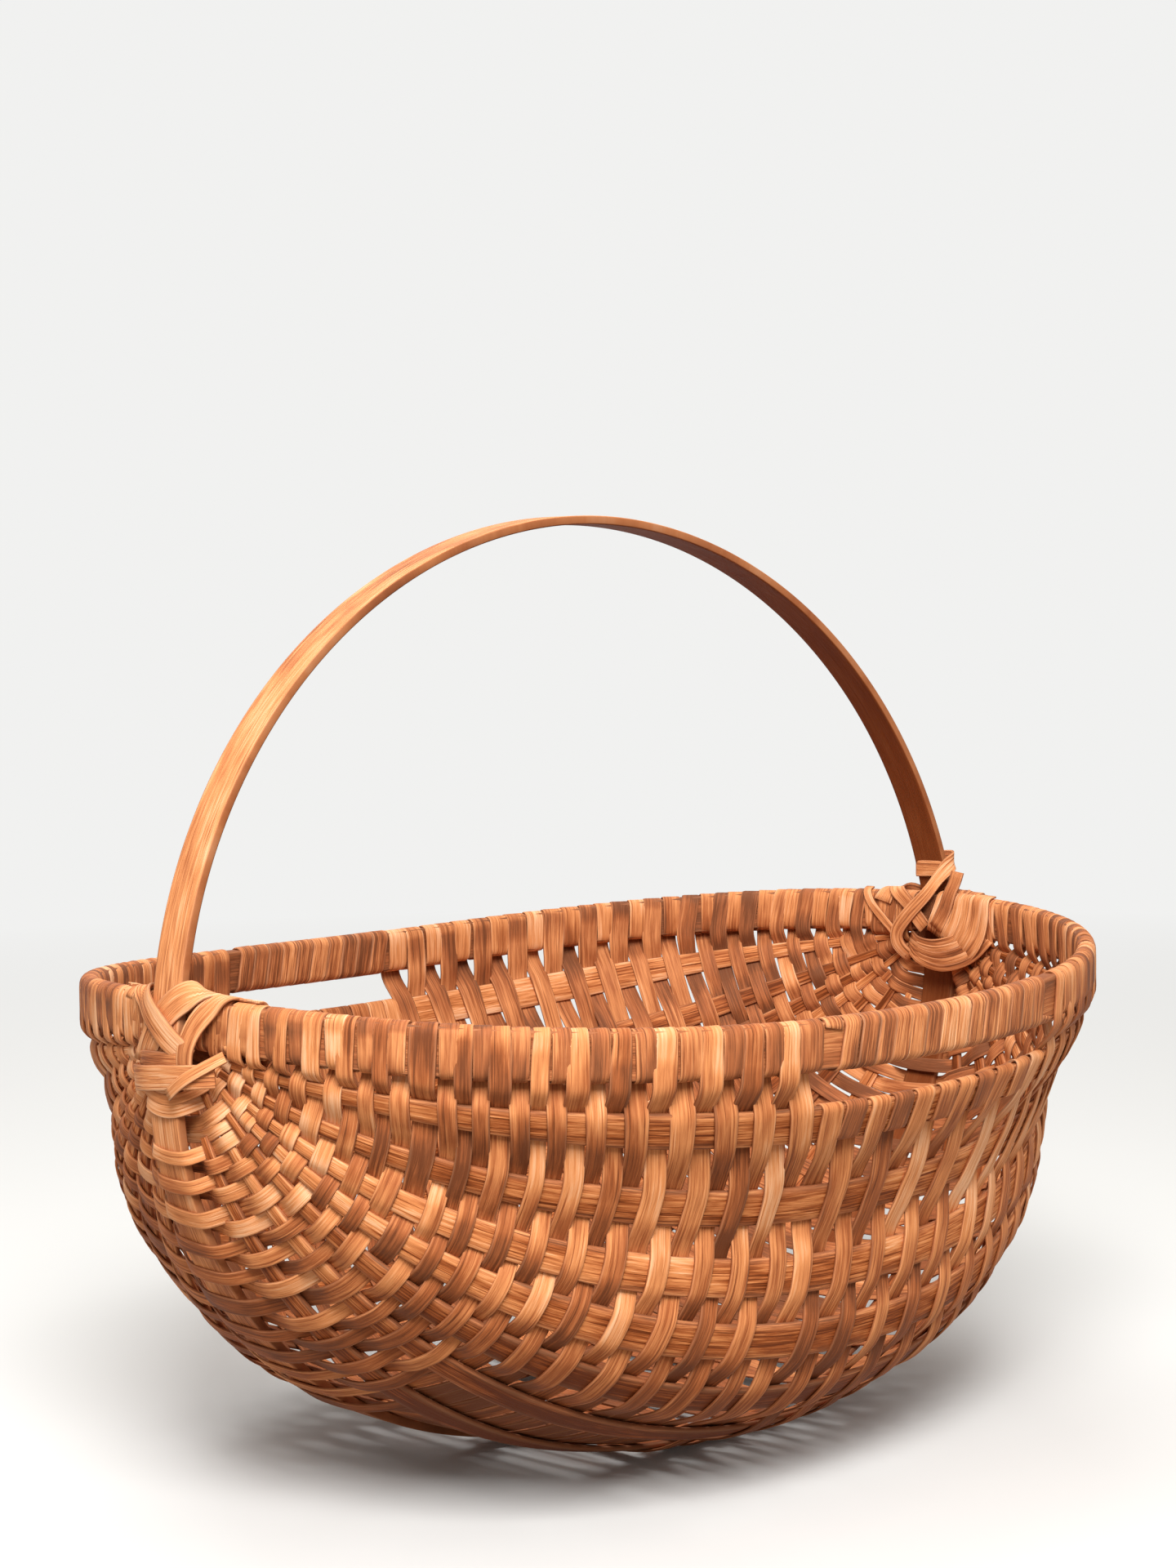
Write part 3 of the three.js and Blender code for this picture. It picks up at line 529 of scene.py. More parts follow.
def row_path(rng, section, share, over_first):
    """Path, normals, painted shade where it dips under ribs and on its loops' inward faces, section length
    and greatest width of one row, with its loops at both ends.
    """
    met = crossings(section, share, over_first)
    places = [angle + side * plateau for angle, plateau, _ in met for side in (-1, 1)]
    lifts = [lift for _, _, lift in met for _ in (-1, 1)]
    middle = section == MIDDLE
    if middle:
        edges = (RIB_ANGLES[0], HALF_TURN - RIB_ANGLES[0])
        rib_frames = [first_rib_frame(section, share, angle) for angle in edges]
        _, tall, radius = RIB_LOOP
        reach = [(tall - radius) / per_degree for _, _, _, per_degree in rib_frames]
        first, last = edges[0] + reach[0], edges[1] - reach[1]
        places, lifts = places[2:-2], lifts[2:-2]
        end_lift, steepest = (RIB_LOOP[0] if over_first else -RIB_LOOP[0]), RIB_LOOP_SLOPE
    else:
        first, last = 0, HALF_TURN
        end_lift, steepest = (-RIM_LOOP[0] if over_first else RIM_LOOP[0]), RIM_LOOP_SLOPE
    angles = np.linspace(first, last, int((last - first) / ROW_STEP))
    lengths, span = lengths_at(section, share, angles)
    lengths = lengths + wavy(rng, len(angles), *ROW_WANDER)
    points, along, normal, per_degree = belly_frame(t_at_length(angles, lengths), angles)
    lift = stepped(angles, np.array([first, *places, last]), np.array([end_lift, *lifts, end_lift]))
    path = points + normal * lift[:, None]
    tilt = np.radians(wavy(rng, len(angles), *ROW_TILT))
    normal = unit(normal + along * np.tan(tilt)[:, None])
    skew = rng.normal(LOOP_SLANT, LOOP_SLANT_VARIES[section], 2)
    loops = []
    for end, far in enumerate((False, True)):
        i = -1 if far else 0
        a, b = (-1 - SLOPE_STATIONS, -1) if far else (0, SLOPE_STATIONS)
        slope = (lengths[b] - lengths[a]) / ((angles[b] - angles[a]) * per_degree[a])
        lean = (1 if far else -1) * np.clip(slope, -steepest, steepest)
        if middle:
            loops.append(rib_loop(rib_frames[end], path[i], not over_first, skew[end], lean))
        else:
            loops.append(rim_loop(points[i], along[i], far, over_first, skew[end], lean))
    # Painted shade where the row passes under a rib
    dip_shade = np.clip(-lift / FULL_DIP, 0, 1)
    near_loop, far_loop = loops
    whole = [np.concatenate([a[::-1], row, b]) for a, row, b in zip(near_loop, (path, normal, dip_shade), far_loop)]
    fuller, widest = fullness(angles, points)
    counts = (len(near_loop[0]), len(far_loop[0]))
    spans = np.pad(span * fuller, counts, constant_values=(span[0], span[-1]))
    return *whole, spans, np.pad(widest, counts, constant_values=WIDEST)


# Rows that pass over the first rib: where they meet the near rim, in mm from the left ear
OVER_RUNS = [
    31.0, 40.3, 50.0, 61.9, 73.4, 83.8, 99.0, 109.1,
    121.2, 132.3, 144.8, 158.1, 173.7, 189.5, 203.8, 219.3]
# Rows past the fan's edge, toward an ear: mm from it, and whether they pass over the first rib
EAR_ROWS = [(8.6, True), (5.4, False), (2.3, True)]
MIDDLE_ROWS = 11
MIDDLE_PITCH_VARIES = (0.9, 1.1)
RIGHT_ROWS = 32
RIGHT_PITCH = (7.6, 4.9)
RIGHT_PITCH_VARIES = (0.86, 1.14)
# Bands of weave in the CAD source, in each section
BANDS = [4, 2, 4]


def left_shares():
    """Share of the section, and whether it passes over the first rib, for each row on the left."""
    low, high = MARKS[0, 0], MARKS[0, 1]
    rows, previous = [], low
    for run in OVER_RUNS:
        rows += [((previous + run) / 2, False), (run, True)]
        previous = run
    rows = [(low - gap, over) for gap, over in EAR_ROWS] + rows
    return [((run - low) / (high - low), over) for run, over in rows]


def even_shares(pitch):
    """Share of the section at the middle of each row, for rows of these widths."""
    edges = summed(pitch) / pitch.sum()
    return (edges[:-1] + edges[1:]) / 2


def middle_shares(rng):
    shares = even_shares(rng.uniform(*MIDDLE_PITCH_VARIES, MIDDLE_ROWS))
    return [(share, i % 2 == 0) for i, share in enumerate(shares)]


def right_shares(rng):
    pitch = np.linspace(*RIGHT_PITCH, RIGHT_ROWS) * rng.uniform(*RIGHT_PITCH_VARIES, RIGHT_ROWS)
    rows = [(share, i % 2 == 1) for i, share in enumerate(even_shares(pitch))]
    return rows + [(1 + gap / (MARKS[0, 3] - MARKS[0, 2]), over) for gap, over in reversed(EAR_ROWS)]


def weave_nodes(section, share):
    """CAD nodes of a row: its band of weave, and the rim wraps that its loops are part of."""
    side, count = SECTIONS[section], BANDS[section]
    band = f"{side}_weave_{min(count, max(1, 1 + int(share * count)))}"
    return [band] + [f"{long_side}_{side}_rim_wrap" for long_side in ("near", "far") if section != MIDDLE]


def weave_rows(material):
    rng = np.random.default_rng(SEED)
    for section, rows in enumerate([left_shares(), middle_shares(rng), right_shares(rng)]):
        places = np.array([share for share, _ in rows])
        pitch = (np.diff(places, prepend=-places[0]) + np.diff(places, append=2 - places[-1])) / 2
        for i, (share, over) in enumerate(rows):
            path, normal, dip_shade, span, widest = row_path(rng, section, share, over)
            points, normals, at = split_path(path, normal, **WEAVE_PATH)
            dip_shade, span, widest = (np.interp(at, np.linspace(0, 1, len(v)), v) for v in (dip_shade, span, widest))
            width = span * pitch[i] * rng.uniform(*SPLIT_WIDTHS)
            width = np.clip(width, NARROWEST, widest) * (1 + wavy(rng, len(points), *SPLIT_WAVES))
            # Random tone, less painted shade where the split dips under ribs and on its loops' inward faces
            shade = rng.uniform(*SPLIT_SHADES) - DIP_PAINTED_SHADE * dip_shade + wavy(rng, len(points), *SHADE_WAVES)
            parts = strip_parts(points, normals, width, SPLIT_THICK, rng.uniform(), shade)
            name = f"{SECTIONS[section]}_split_{i + 1}"
            make_piece(name, parts, material, weave_nodes(section, share))


def rim_line():
    """Line of the rim, from the right ear over the far side and back, and the run along it."""
    far, near = belly(T_FINE[::-1], HALF_TURN), belly(T_FINE, 0)
    line = np.concatenate([far, near, far[:1]]) + UP * WALL_TOP
    return line, run_along(line)


RIM_LINE, RIM_RUN = rim_line()
RIM_AROUND = RIM_RUN[-1]


def rim_frame(run):
    """Point, direction along and direction out at places along the rim."""
    run = np.asarray(run, float)
    before, point, after = (read_at((run + step) % RIM_AROUND, RIM_RUN, RIM_LINE) for step in (-1, 0, 1))
    along = unit(after - before)
    return point, along, unit(np.stack([along[..., 1], -along[..., 0], np.zeros_like(run)], -1))


def rim_hoop(material):
    point, _, out = rim_frame(np.linspace(0, RIM_AROUND, RIM_STATIONS, endpoint=False))
    side = np.broadcast_to(-UP, out.shape)
    parts = strip_parts(point, out, RIM_TALL, RIM_THICK, *RIM_LOOK, HOOP_SECTION, True, side)
    make_piece("rim_hoop_band", parts, material, ["rim_hoop"])


def rib(rng, name, angle, start, material):
    """One rib, at even steps along the belly."""
    kept = T_FINE[ear_distance(belly(T_FINE, angle)) > start]
    t = np.interp(np.linspace(0, 1, RIB_STATIONS), np.linspace(0, 1, len(kept)), kept)
    run = run_along(belly(t, angle))
    t = np.interp(np.linspace(0, run[-1], RIB_STATIONS), run, t)
    point, _, normal, _ = belly_frame(t, np.full(RIB_STATIONS, angle))
    d = ear_distance(point)
    shade = rng.uniform()
    wide = rib_width(d) * (1 + wavy(rng, RIB_STATIONS, *RIB_WAVES))
    parts = strip_parts(point, normal, wide, rib_thick(d), rng.uniform(), shade, RIB_SECTION)
    make_piece(f"{name}_split", parts, material, [name])


def ribs(material):
    rng = np.random.default_rng(SEED + 1)
    for side in ("near", "far"):
        for i, angle in enumerate(RIB_ANGLES):
            place = HALF_TURN - angle if side == "far" else angle
            rib(rng, f"{side}_rib_{i + 1}", place, RIB_START[i], material)


def handle_hoop(material):
    """One closed band: the handle above the ears, the spine of the basket below them."""
    centre = SADDLE - LOW_CENTRE
    t = np.linspace(0.0, math.pi, HOOP_PART_STATIONS)
    x = -HOOP_SPAN_HALF * signed_power(np.cos(t), 2 / HOOP_EXPONENT)
    z = centre + (HOOP_TOP - centre) * signed_power(np.sin(t), 2 / HOOP_EXPONENT)
    below, above = np.maximum(0, SADDLE - z), np.maximum(0, z - SADDLE)
    top = np.stack([x, SIDE_SHIFT * below / SHIFT_DEPTH + HOOP_LEAN * above, z], -1)
    start = t_at_length(np.array([SPINE_ANGLE]), MARKS[SPINE_ANGLE:SPINE_ANGLE + 1, 0])[0]
    t = np.linspace(math.pi - start, start, HOOP_PART_STATIONS)
    point, _, normal, _ = belly_frame(t, np.full(HOOP_PART_STATIONS, SPINE_ANGLE))
    line = np.concatenate([top, point + normal * hoop_step(point[:, 2])[:, None], top[:1]])
    run = run_along(line)
    line = read_at(np.linspace(0, run[-1], HOOP_STATIONS, endpoint=False), run, line)
    for _ in range(HOOP_SOFTENINGS):
        line = (np.roll(line, 1, 0) + 2 * line + np.roll(line, -1, 0)) / 4
    along = unit((np.roll(line, -1, 0) - np.roll(line, 1, 0)) * (1, 0, 1))
    out = np.stack([-along[:, 2], np.zeros(HOOP_STATIONS), along[:, 0]], -1)
    side = np.broadcast_to((0.0, -1.0, 0.0), out.shape)
    swell = 1 + wavy(np.random.default_rng(SEED + 3), HOOP_STATIONS, *HOOP_WAVES)
    parts = strip_parts(line, out, HOOP_WIDE * swell, HOOP_THICK, *HOOP_LOOK, HOOP_SECTION, True, side)
    make_piece("handle_hoop_band", parts, material, ["handle_hoop", "spine_hoop"])


# Windings: stations at a corner, gap at the ends of a hold, and reach from the middle of an ear
WINDING_STATIONS = 5
WINDING_PITCH_VARIES = (0.94, 1.06)
WINDING_SHADES = (0.1, 0.9)
# Painted shade on the inward face of a winding
WINDING_INNER_PAINTED_SHADE = 0.3
WRAP_WAVE = 0.05
HOLD_PITCH = 8.6
HOLD_WIDTH = 7.9
HOLD_END_GAP = 4
EAR_WRAPS_PITCH = 4.6
EAR_WRAPS_WIDTH = 4.5
EAR_WRAPS_START = 7.5
EAR_WRAPS_REACH = 26.0


def winding(rng, start, stop, turns, width, name, node, material):
    """One unbroken split wound round the rim."""
    n, z, toward_out, toward_up = round_corners(*RIM_LOOP, 4, WINDING_STATIONS)
    m = len(n)
    around = summed(np.hypot(np.diff(n), np.diff(z)))
    around = around / (around[-1] + np.hypot(n[0] - n[-1], z[0] - z[-1]))
    pitch = rng.uniform(*WINDING_PITCH_VARIES, turns)
    edges = summed(pitch) / pitch.sum()
    turn = np.repeat(np.arange(turns), m) + np.tile(around, turns)
    at = start + (stop - start) * np.interp(turn, np.arange(turns + 1), edges)
    point, _, out = rim_frame(at)
    points = point + out * np.tile(n, turns)[:, None] + UP * np.tile(z, turns)[:, None]
    normals = out * np.tile(toward_out, turns)[:, None] + UP * np.tile(toward_up, turns)[:, None]
    width = width * (1 + wavy(rng, len(points), WRAP_WAVE, turns * 2))
    # Each turn has its own tone, which changes under the rim
    shade = np.roll(np.repeat(rng.uniform(*WINDING_SHADES, turns), m), -WINDING_STATIONS)
    # Painted shade on the inward face
    shade = shade - WINDING_INNER_PAINTED_SHADE * np.tile(np.clip(-toward_out, 0, 1), turns)
    parts = strip_parts(points, normals, width, SPLIT_THICK, rng.uniform(), shade)
    make_piece(name, parts, material, [node])


def run_at_x(x, far):
    """Place along the rim line, at a given x on one long side."""
    on_side = (RIM_LINE[:, 1] > 0) == far
    return RIM_RUN[on_side][np.argmin(np.abs(RIM_LINE[on_side, 0] - x))]


def hold(rng, far, material):
    start, stop = sorted(run_at_x(x, far) for x in (FAR_HOLD if far else NEAR_HOLD))
    turns = int((stop - start) / HOLD_PITCH)
    name = "far_hold_winding" if far else "near_hold_winding"
    start, stop = start + HOLD_END_GAP, stop - HOLD_END_GAP
    winding(rng, start, stop, turns, HOLD_WIDTH, name + "_split", name, material)


def ear_point(side, route):
    """Points and outward directions at an ear, for places along the rim, up and out."""
    u, v, n = np.array(route, float).T
    place, _, out = rim_frame(u if side > 0 else RIM_AROUND / 2 - u)
    return place + out * n[:, None] + UP * v[:, None], out


def curve_through(points):
    """Smooth line through given points."""
    points = np.array(points, float)
    p = np.concatenate([2 * points[:1] - points[1:2], points, 2 * points[-1:] - points[-2:-1]])
    k = np.linspace(0, 1, CURVE_PARTS, endpoint=False)[:, None]
    pieces = [curve(k, *four) for four in zip(p, p[1:], p[2:], p[3:])]
    return np.concatenate(pieces + [points[-1:]])


# Half sizes of the core of rim that the crossed strips lie on, and the look of an ear's splits
CORE_OUT = 4.2
CORE_UP = 8.4
EAR_SPLIT_THICK = 0.95
EAR_WAVES = (WRAP_WAVE, 4)
EAR_SHADES = (0.35, 0.95)
EAR_SHADE_WAVES = (0.12, 3)


def ear_strip(rng, side, name, width, route, faces, material):
    """One split at an ear. Its face looks away from the rim's core, or in the given directions."""
    line = curve_through(route)
    points, out = ear_point(side, line)
    if faces is None:
        away_out, away_up = line[:, 2] ** 3 / CORE_OUT ** 4, line[:, 1] ** 3 / CORE_UP ** 4
        normals = unit(out * away_out[:, None] + UP * away_up[:, None])
    else:
        turned = curve_through(faces)
        along = np.cross(out, UP)
        ahead = ear_point(side, [(1, 0, 0)])[0] - ear_point(side, [(0, 0, 0)])[0]
        along = along * np.sign(ahead @ along[0])
        normals = unit(along * turned[:, :1] + UP * turned[:, 1:2] + out * turned[:, 2:])
    points, normals, _ = split_path(points, normals, **EAR_PATH)
    width = width * (1 + wavy(rng, len(points), *EAR_WAVES))
    shade = rng.uniform(*EAR_SHADES) + wavy(rng, len(points), *EAR_SHADE_WAVES)
    parts = strip_parts(points, normals, width, EAR_SPLIT_THICK, rng.uniform(), shade)
    label = "left" if side < 0 else "right"
    node = "ear_band" if name.startswith("band") else "ear_lashing"
    make_piece(f"{label}_ear_{name}", parts, material, [f"{label}_{node}"])


# Routes of the ear lashing, in mm along the rim, up and out. Those in groups have a name and a width
CROSSED = [
    ("cross_wide", 10, [(13, -14.5, 5.2), (8.5, -8.5, 8), (2.5, -0.5, 8.6), (-3.5, 5.6, 7.6),
        (-9, 9.4, 5.6), (-13, 10, 2.6), (-15.5, 9.6, -1.2), (-16.5, 6.5, -4), (-16.5, 2, -4.4)]),
    ("cross_second", 7.6, [(-23.5, 2, -4.4), (-23.5, 7.6, -3.6), (-23.3, 9.7, 0), (-21.8, 9.3, 3.2),
        (-17.8, 5.4, 5.6), (-14.4, 0.2, 8), (-12.6, -5.5, 9.8), (-12, -11, 10.2), (-12, -16, 9.4)]),
    ("cross_top", 8.4, [(22, 4, -4.6), (20.5, 9, -1.5), (18.6, 9.2, 1.5), (14.8, 8, 4.8), (8.8, 4.6, 8.2),
        (2.5, 0.6, 9.9), (-4, -3.6, 10.6), (-9, -7, 9.9), (-12.5, -10, 8.2)]),
    ("inside_under", 6.6, [(19, 6, 4.2), (18, 9.3, 1.5), (16.5, 9.7, -1.5), (13, 7.8, -4.7), (8, 4, -5.5),
        (3.5, -1, -5.9), (-1, -6, -5.4)])]
INSIDE_LOW = [(8, -19.5, -3.4), (11, -16, -5.6), (13, -13, -6.4), (12.8, -8, -6.8), (7, -1, -7.2)]
INSIDE_LEFT_END = [(0, 6, -6.4), (-5, 9.6, -3), (-7, 10, 0.6)]
INSIDE_RIGHT_END = [(-2, 8, -6), (-6, 15, -2.6), (-8.6, 19.4, 0), (-9.6, 21.8, 2.4), (-8, 23, 4.6),
    (-2, 22.8, 5.2), (5, 21.8, 5.2)]
FOLD = [(-15.6, 18.2, -1.6), (-15, 13.5, -3), (-13.8, 9, -4.9), (-12.6, 4, -5.8), (-10.4, -1, -6.4),
    (-7.6, -5.5, -6.6)]
ROUND = [(6, 18.2, 5.3), (8.6, 18.2, 3.9), (8.6, 18.2, 1.2), (5, 18.3, 0.3), (-4, 18.7, 0.3),
    (-8.6, 19, 1.2), (-8.6, 19, 3.9), (-4, 18.9, 5.2), (5, 18.4, 5.6)]
EAR_BANDS = [
    ("band_upper", 5.4, [(20, -13, 3.4), (14, -12.6, 7), (6, -12, 9.6), (-3, -11.4, 10.2),
        (-10, -11, 9.8)]),
    ("band_main", 8.2, [(26, -20, 0.5), (19.5, -19.5, 5.8), (10, -18.4, 10), (0, -17.2, 11.2),
        (-9, -16, 11.6), (-17, -15, 10.4), (-22.5, -14.4, 7.2)]),
    ("band_slant", 3.9, [(-25.5, -8.2, 5.8), (-21, -11.4, 9.6), (-15.2, -15.4, 12.4), (-10, -19.2, 12.8),
        (-6.5, -21.8, 12.3)])]
# Split that comes down slanting on the other side of the handle
INSIDE_SLANT = [(31, 9.3, 0.4), (30.5, 8.2, -3.4), (28, 3.4, -4.6), (21.5, -3.4, -5), (16, -8.5, -5.2),
    (13.6, -13.5, -5), (9, -18, -4.2)]
# First and last of the long wraps beside the handle, and of the arcs that hold them
LONG_FIRST = [(-9.2, 9.3, 0.4), (-9.2, 8.4, -3.6), (-8.6, 4.5, -4.9), (-7.6, 0.5, -5.9), (-6, -3.5, -6.2),
    (-4, -7.5, -4.6)]
LONG_LAST = [(-33, 9.3, 0.4), (-33, 8.2, -3.6), (-33.4, 1, -4.8), (-32, -7, -5.6), (-27.5, -13.5, -6),
    (-21, -17.5, -4)]
ARC_FIRST = [(-25, -2.5, -3.2), (-18.5, -8.4, -5.8), (-8, -11.6, -7.4), (1, -11.2, -7), (6.5, -9.2, -4.6)]
ARC_LAST = [(-36, -8, -3), (-26.5, -17.2, -5.2), (-11.5, -22.2, -6.4), (2, -19.9, -5.8), (8.5, -15, -4.2)]
LONG_WRAPS = 6
ARCS = 5
# Steps of a smooth line from one point to the next
CURVE_PARTS = 12

# Directions of the strips' faces at those points
OUTWARD = (0, 0, 1)
INWARD = (0, 0, -1)
LOW_FACES = [(0, -0.3, -1), (0, -0.2, -1), INWARD, INWARD, INWARD]
LEFT_END_FACES = [(0, 0.2, -1), (0, 1, -0.5), (0, 1, 0.3)]
RIGHT_END_FACES = [(0, 0.1, -1), (0, 0.1, -1), (-0.5, 0, -1), (-1, 0, 0), (-0.5, 0, 1), OUTWARD, OUTWARD]
ROUND_FACES = [OUTWARD, (1, 0, 1), (1, 0, -1), INWARD, INWARD, (-1, 0, -1), (-1, 0, 1), OUTWARD, OUTWARD]
SLANT_FACES = [(0, 1, 0.2), (0, 0.6, -1), INWARD, INWARD, INWARD, INWARD, INWARD]
LONG_FACES = [(0, 1, 0.2), (0, 0.6, -1), (0, 0.1, -1), INWARD, (0, -0.1, -1), (0, -0.2, -1)]
ARC_FACES = [(0, -0.1, -1), (0, -0.2, -1), (0, -0.3, -1), (0, -0.2, -1), INWARD]


def between(name, width, first, last, count, faces):
    """Strips of the lashing from a first route to a last one."""
    shares = [k / (count - 1) for k in range(count)]
    routes = [np.array(first) * (1 - share) + np.array(last) * share for share in shares]
    return [(f"{name}_{k + 1}", width, route, faces) for k, route in enumerate(routes)]


def ear_strips(side):
    """Name, width, route and face directions of each strip at an ear."""
    end, end_faces = (INSIDE_LEFT_END, LEFT_END_FACES) if side < 0 else (INSIDE_RIGHT_END, RIGHT_END_FACES)
    strips = [(*strip, None) for strip in CROSSED]
    strips.append(("inside_top", 6.4, INSIDE_LOW + end, LOW_FACES + end_faces))
    if side > 0:
        strips.append(("fold", 6.6, FOLD, [INWARD] * len(FOLD)))
        strips.append(("round", 6.8, ROUND, ROUND_FACES))
    strips += [(name, width, route, [OUTWARD] * len(route)) for name, width, route in EAR_BANDS]
    strips += between("long_wrap", 5.0, LONG_FIRST, LONG_LAST, LONG_WRAPS, LONG_FACES)
    strips += between("arc", 2.9, ARC_FIRST, ARC_LAST, ARCS, ARC_FACES)
    return strips + [("inside_slant", 3.8, INSIDE_SLANT, SLANT_FACES)]


def ear(rng, side, material):
    """Lashing of one ear, and the narrow wraps to both sides of it."""
    for strip in ear_strips(side):
        ear_strip(rng, side, *strip, material)
    label = "left" if side < 0 else "right"
    middle = 0.0 if side > 0 else RIM_AROUND / 2
    turns = int((EAR_WRAPS_REACH - EAR_WRAPS_START) / EAR_WRAPS_PITCH)
    for long_side, turn in (("near", -1), ("far", 1)):
        start, stop = sorted(middle + turn * side * gap for gap in (EAR_WRAPS_START, EAR_WRAPS_REACH))
        name = f"{long_side}_{label}"
        wraps, node = f"{name}_ear_wraps", f"{name}_rim_wrap"
        winding(rng, start, stop, turns, EAR_WRAPS_WIDTH, wraps, node, material)


# Colours of the wood, and where each lies on the scale of tones
DARK = (0.10, 0.019, 0.003, 1)
BROWN = (0.36, 0.092, 0.023, 1)
HONEY = (0.72, 0.27, 0.092, 1)
PALE = (0.93, 0.53, 0.30, 1)
# Red-brown of knots, and of the painted shade at the sides and on the hoops' inner faces
REDDISH = (0.17, 0.038, 0.008, 1)
TONES = [(0.0, DARK), (0.33, BROWN), (0.66, HONEY), (1.0, PALE)]
MIDDLE_TONE = 0.55
DARKEST_TONE = 0.05

# Noise of the grain: stretch along a strip, across it and from strip to strip, detail, roughness, distortion
FIBRE = ((0.05, 1.1, 1.0), 5.0, 0.65, 0.3)
FINE = ((0.08, 2.6, 1.0), 3.0, 0.6, 0.0)
LINES = ((0.022, 1.5, 1.0), 2.0, 0.5, 0.0)
PATCH = ((0.035, 0.12, 1.0), 2.0, 0.5, 0.0)
# Slow change of tone over the whole basket: scale, detail, roughness
WIDE_NOISE = (9.0, 3.0, 0.55)
# How much each of these changes the tone
FIBRE_SHARE = 1.5
FINE_SHARE = 0.45
PATCH_SHARE = 0.95
WIDE_SHARE = 0.45
SHADE_SHARE = 0.42
# Thin dark lines along the fibres: where in the noise they start, and how sharp and how dark they are
LINE = (0.57, 6.0)
LINE_SHARE = 0.62
# Height in metres below which outer faces get painted shade, darker towards the bottom, and how much painted
# shade the inner faces get
PAINTED_SHADE_BELOW = 0.12
INNER_PAINTED_SHADE = 0.19
# Pale edges, partly wear and partly painted highlight, and the sides' painted shade: where they start across
# a strip, and how sharp and how strong they are
WEAR_AND_HIGHLIGHT_FROM = 0.8
WEAR_AND_HIGHLIGHT_SHARP = 2.2
WEAR_AND_HIGHLIGHT_SHARE = 1.6
SIDE_PAINTED_SHADE = (0.94, 11.0)
# How much of the wood's colour stays in the painted shade on a hoop's inner face
INNER_COLOUR_KEPT = 0.1
# Knots: scale of their cells, share of cells without one, size and sharpness, strength, nearest to an edge
KNOT_SCALE = 0.055
KNOT_RARE = 0.7
KNOT_SPOT = (0.075, 40.0)
KNOT_SHARE = 0.8
KNOT_EDGE = 0.85
# Roughness that the fine grain adds, and the relief of the grain, its height in metres
ROUGH_VARIES = 0.25
RELIEF_FIBRE = 0.7
RELIEF_FINE = 0.5
RELIEF_STRENGTH = 0.55
RELIEF_HEIGHT = 0.0006


class Nodes:
    """Short way to write a node tree."""

    def __init__(self, owner):
        owner.use_nodes = True
        self.tree = owner.node_tree
        self.tree.nodes.clear()

    def add(self, kind, inputs=None, **settings):
        node = self.tree.nodes.new(kind)
        for key, value in settings.items():
            setattr(node, key, value)
        for key, value in (inputs or {}).items():
            socket = node.inputs[key]
            if isinstance(value, bpy.types.NodeSocket):
                self.tree.links.new(value, socket)
            else:
                socket.default_value = value
        return node

    def math(self, operation, a, b, clamp=False):
        return self.add("ShaderNodeMath", {0: a, 1: b}, operation=operation, use_clamp=clamp).outputs[0]

    def times(self, a, b, clamp=False):
        return self.math("MULTIPLY", a, b, clamp)

    def above(self, value, limit, factor, clamp=True):
        """How far a value is above a limit, times a factor."""
        return self.times(self.math("SUBTRACT", value, limit), factor, clamp)

    def below(self, value, limit, factor):
        return self.times(self.math("SUBTRACT", limit, value), factor, True)

    def mix(self, share, a, b):
        return self.add("ShaderNodeMix", {0: share, 6: a, 7: b}, data_type="RGBA").outputs[2]

    def attribute(self, name):
        return self.add("ShaderNodeAttribute", attribute_name=name).outputs["Vector"]

    def split(self, vector):
        return self.add("ShaderNodeSeparateXYZ", {0: vector}).outputs

    def noise(self, vector, *settings):
        inputs = dict(zip(("Scale", "Detail", "Roughness", "Distortion"), settings))
        return self.add("ShaderNodeTexNoise", {"Vector": vector, **inputs}).outputs["Fac"]

    def grain_noise(self, grain, stretch, *settings):
        stretched = self.add("ShaderNodeVectorMath", {0: grain, 1: stretch}, operation="MULTIPLY").outputs[0]
        return self.noise(stretched, 1.0, *settings)

    def ramp(self, value, stops):
        node = self.add("ShaderNodeValToRGB", {0: value})
        elements = node.color_ramp.elements
        while len(elements) < len(stops):
            elements.new(0.5)
        for element, (place, colour) in zip(elements, stops):
            element.position = place
            element.color = colour
        return node.outputs[0]


def directly_seen(n):
    """1 where the camera sees a surface itself, or in gloss or through glass, 0 for the light thrown back."""
    rays = n.add("ShaderNodeLightPath").outputs
    seen = n.math("MAXIMUM", rays["Is Camera Ray"], rays["Is Glossy Ray"])
    return n.math("MAXIMUM", seen, rays["Is Transmission Ray"])


def knots(n, grain, edge):
    """Small dark spots here and there, away from the edges."""
    cells = n.add("ShaderNodeTexVoronoi", {"Vector": grain, "Scale": KNOT_SCALE}).outputs
    chosen = n.math("GREATER_THAN", n.split(cells["Color"])[0], KNOT_RARE)
    spot = n.times(n.below(cells["Distance"], *KNOT_SPOT), n.times(chosen, KNOT_SHARE))
    return n.times(spot, n.math("LESS_THAN", edge, KNOT_EDGE))


def wood_tone(n, place, fibre, fine, lines, patch, shade, outer, streak, low_painted_shade):
    """How far the tone of the wood lies above or below the middle of its kind, with painted shade low down
    and on inner faces.
    """
    wide = n.noise(place, *WIDE_NOISE)
    layers = [(fibre, FIBRE_SHARE * streak), (fine, FINE_SHARE * streak), (patch, PATCH_SHARE),
              (wide, WIDE_SHARE), (shade, SHADE_SHARE)]
    tone = 0.0
    for layer, share in layers:
        tone = n.math("ADD", tone, n.above(layer, 0.5, share, False))
    line = n.above(lines, *LINE)
    # Painted shade on outer faces, darker towards the bottom
    low = n.below(n.split(place)[2], PAINTED_SHADE_BELOW, low_painted_shade)
    # Dark fibre lines, and painted shade low down and on the inner faces
    for darker in (n.times(line, LINE_SHARE * streak), n.times(low, outer), n.below(outer, 1.0, INNER_PAINTED_SHADE)):
        tone = n.math("SUBTRACT", tone, darker)
    return tone


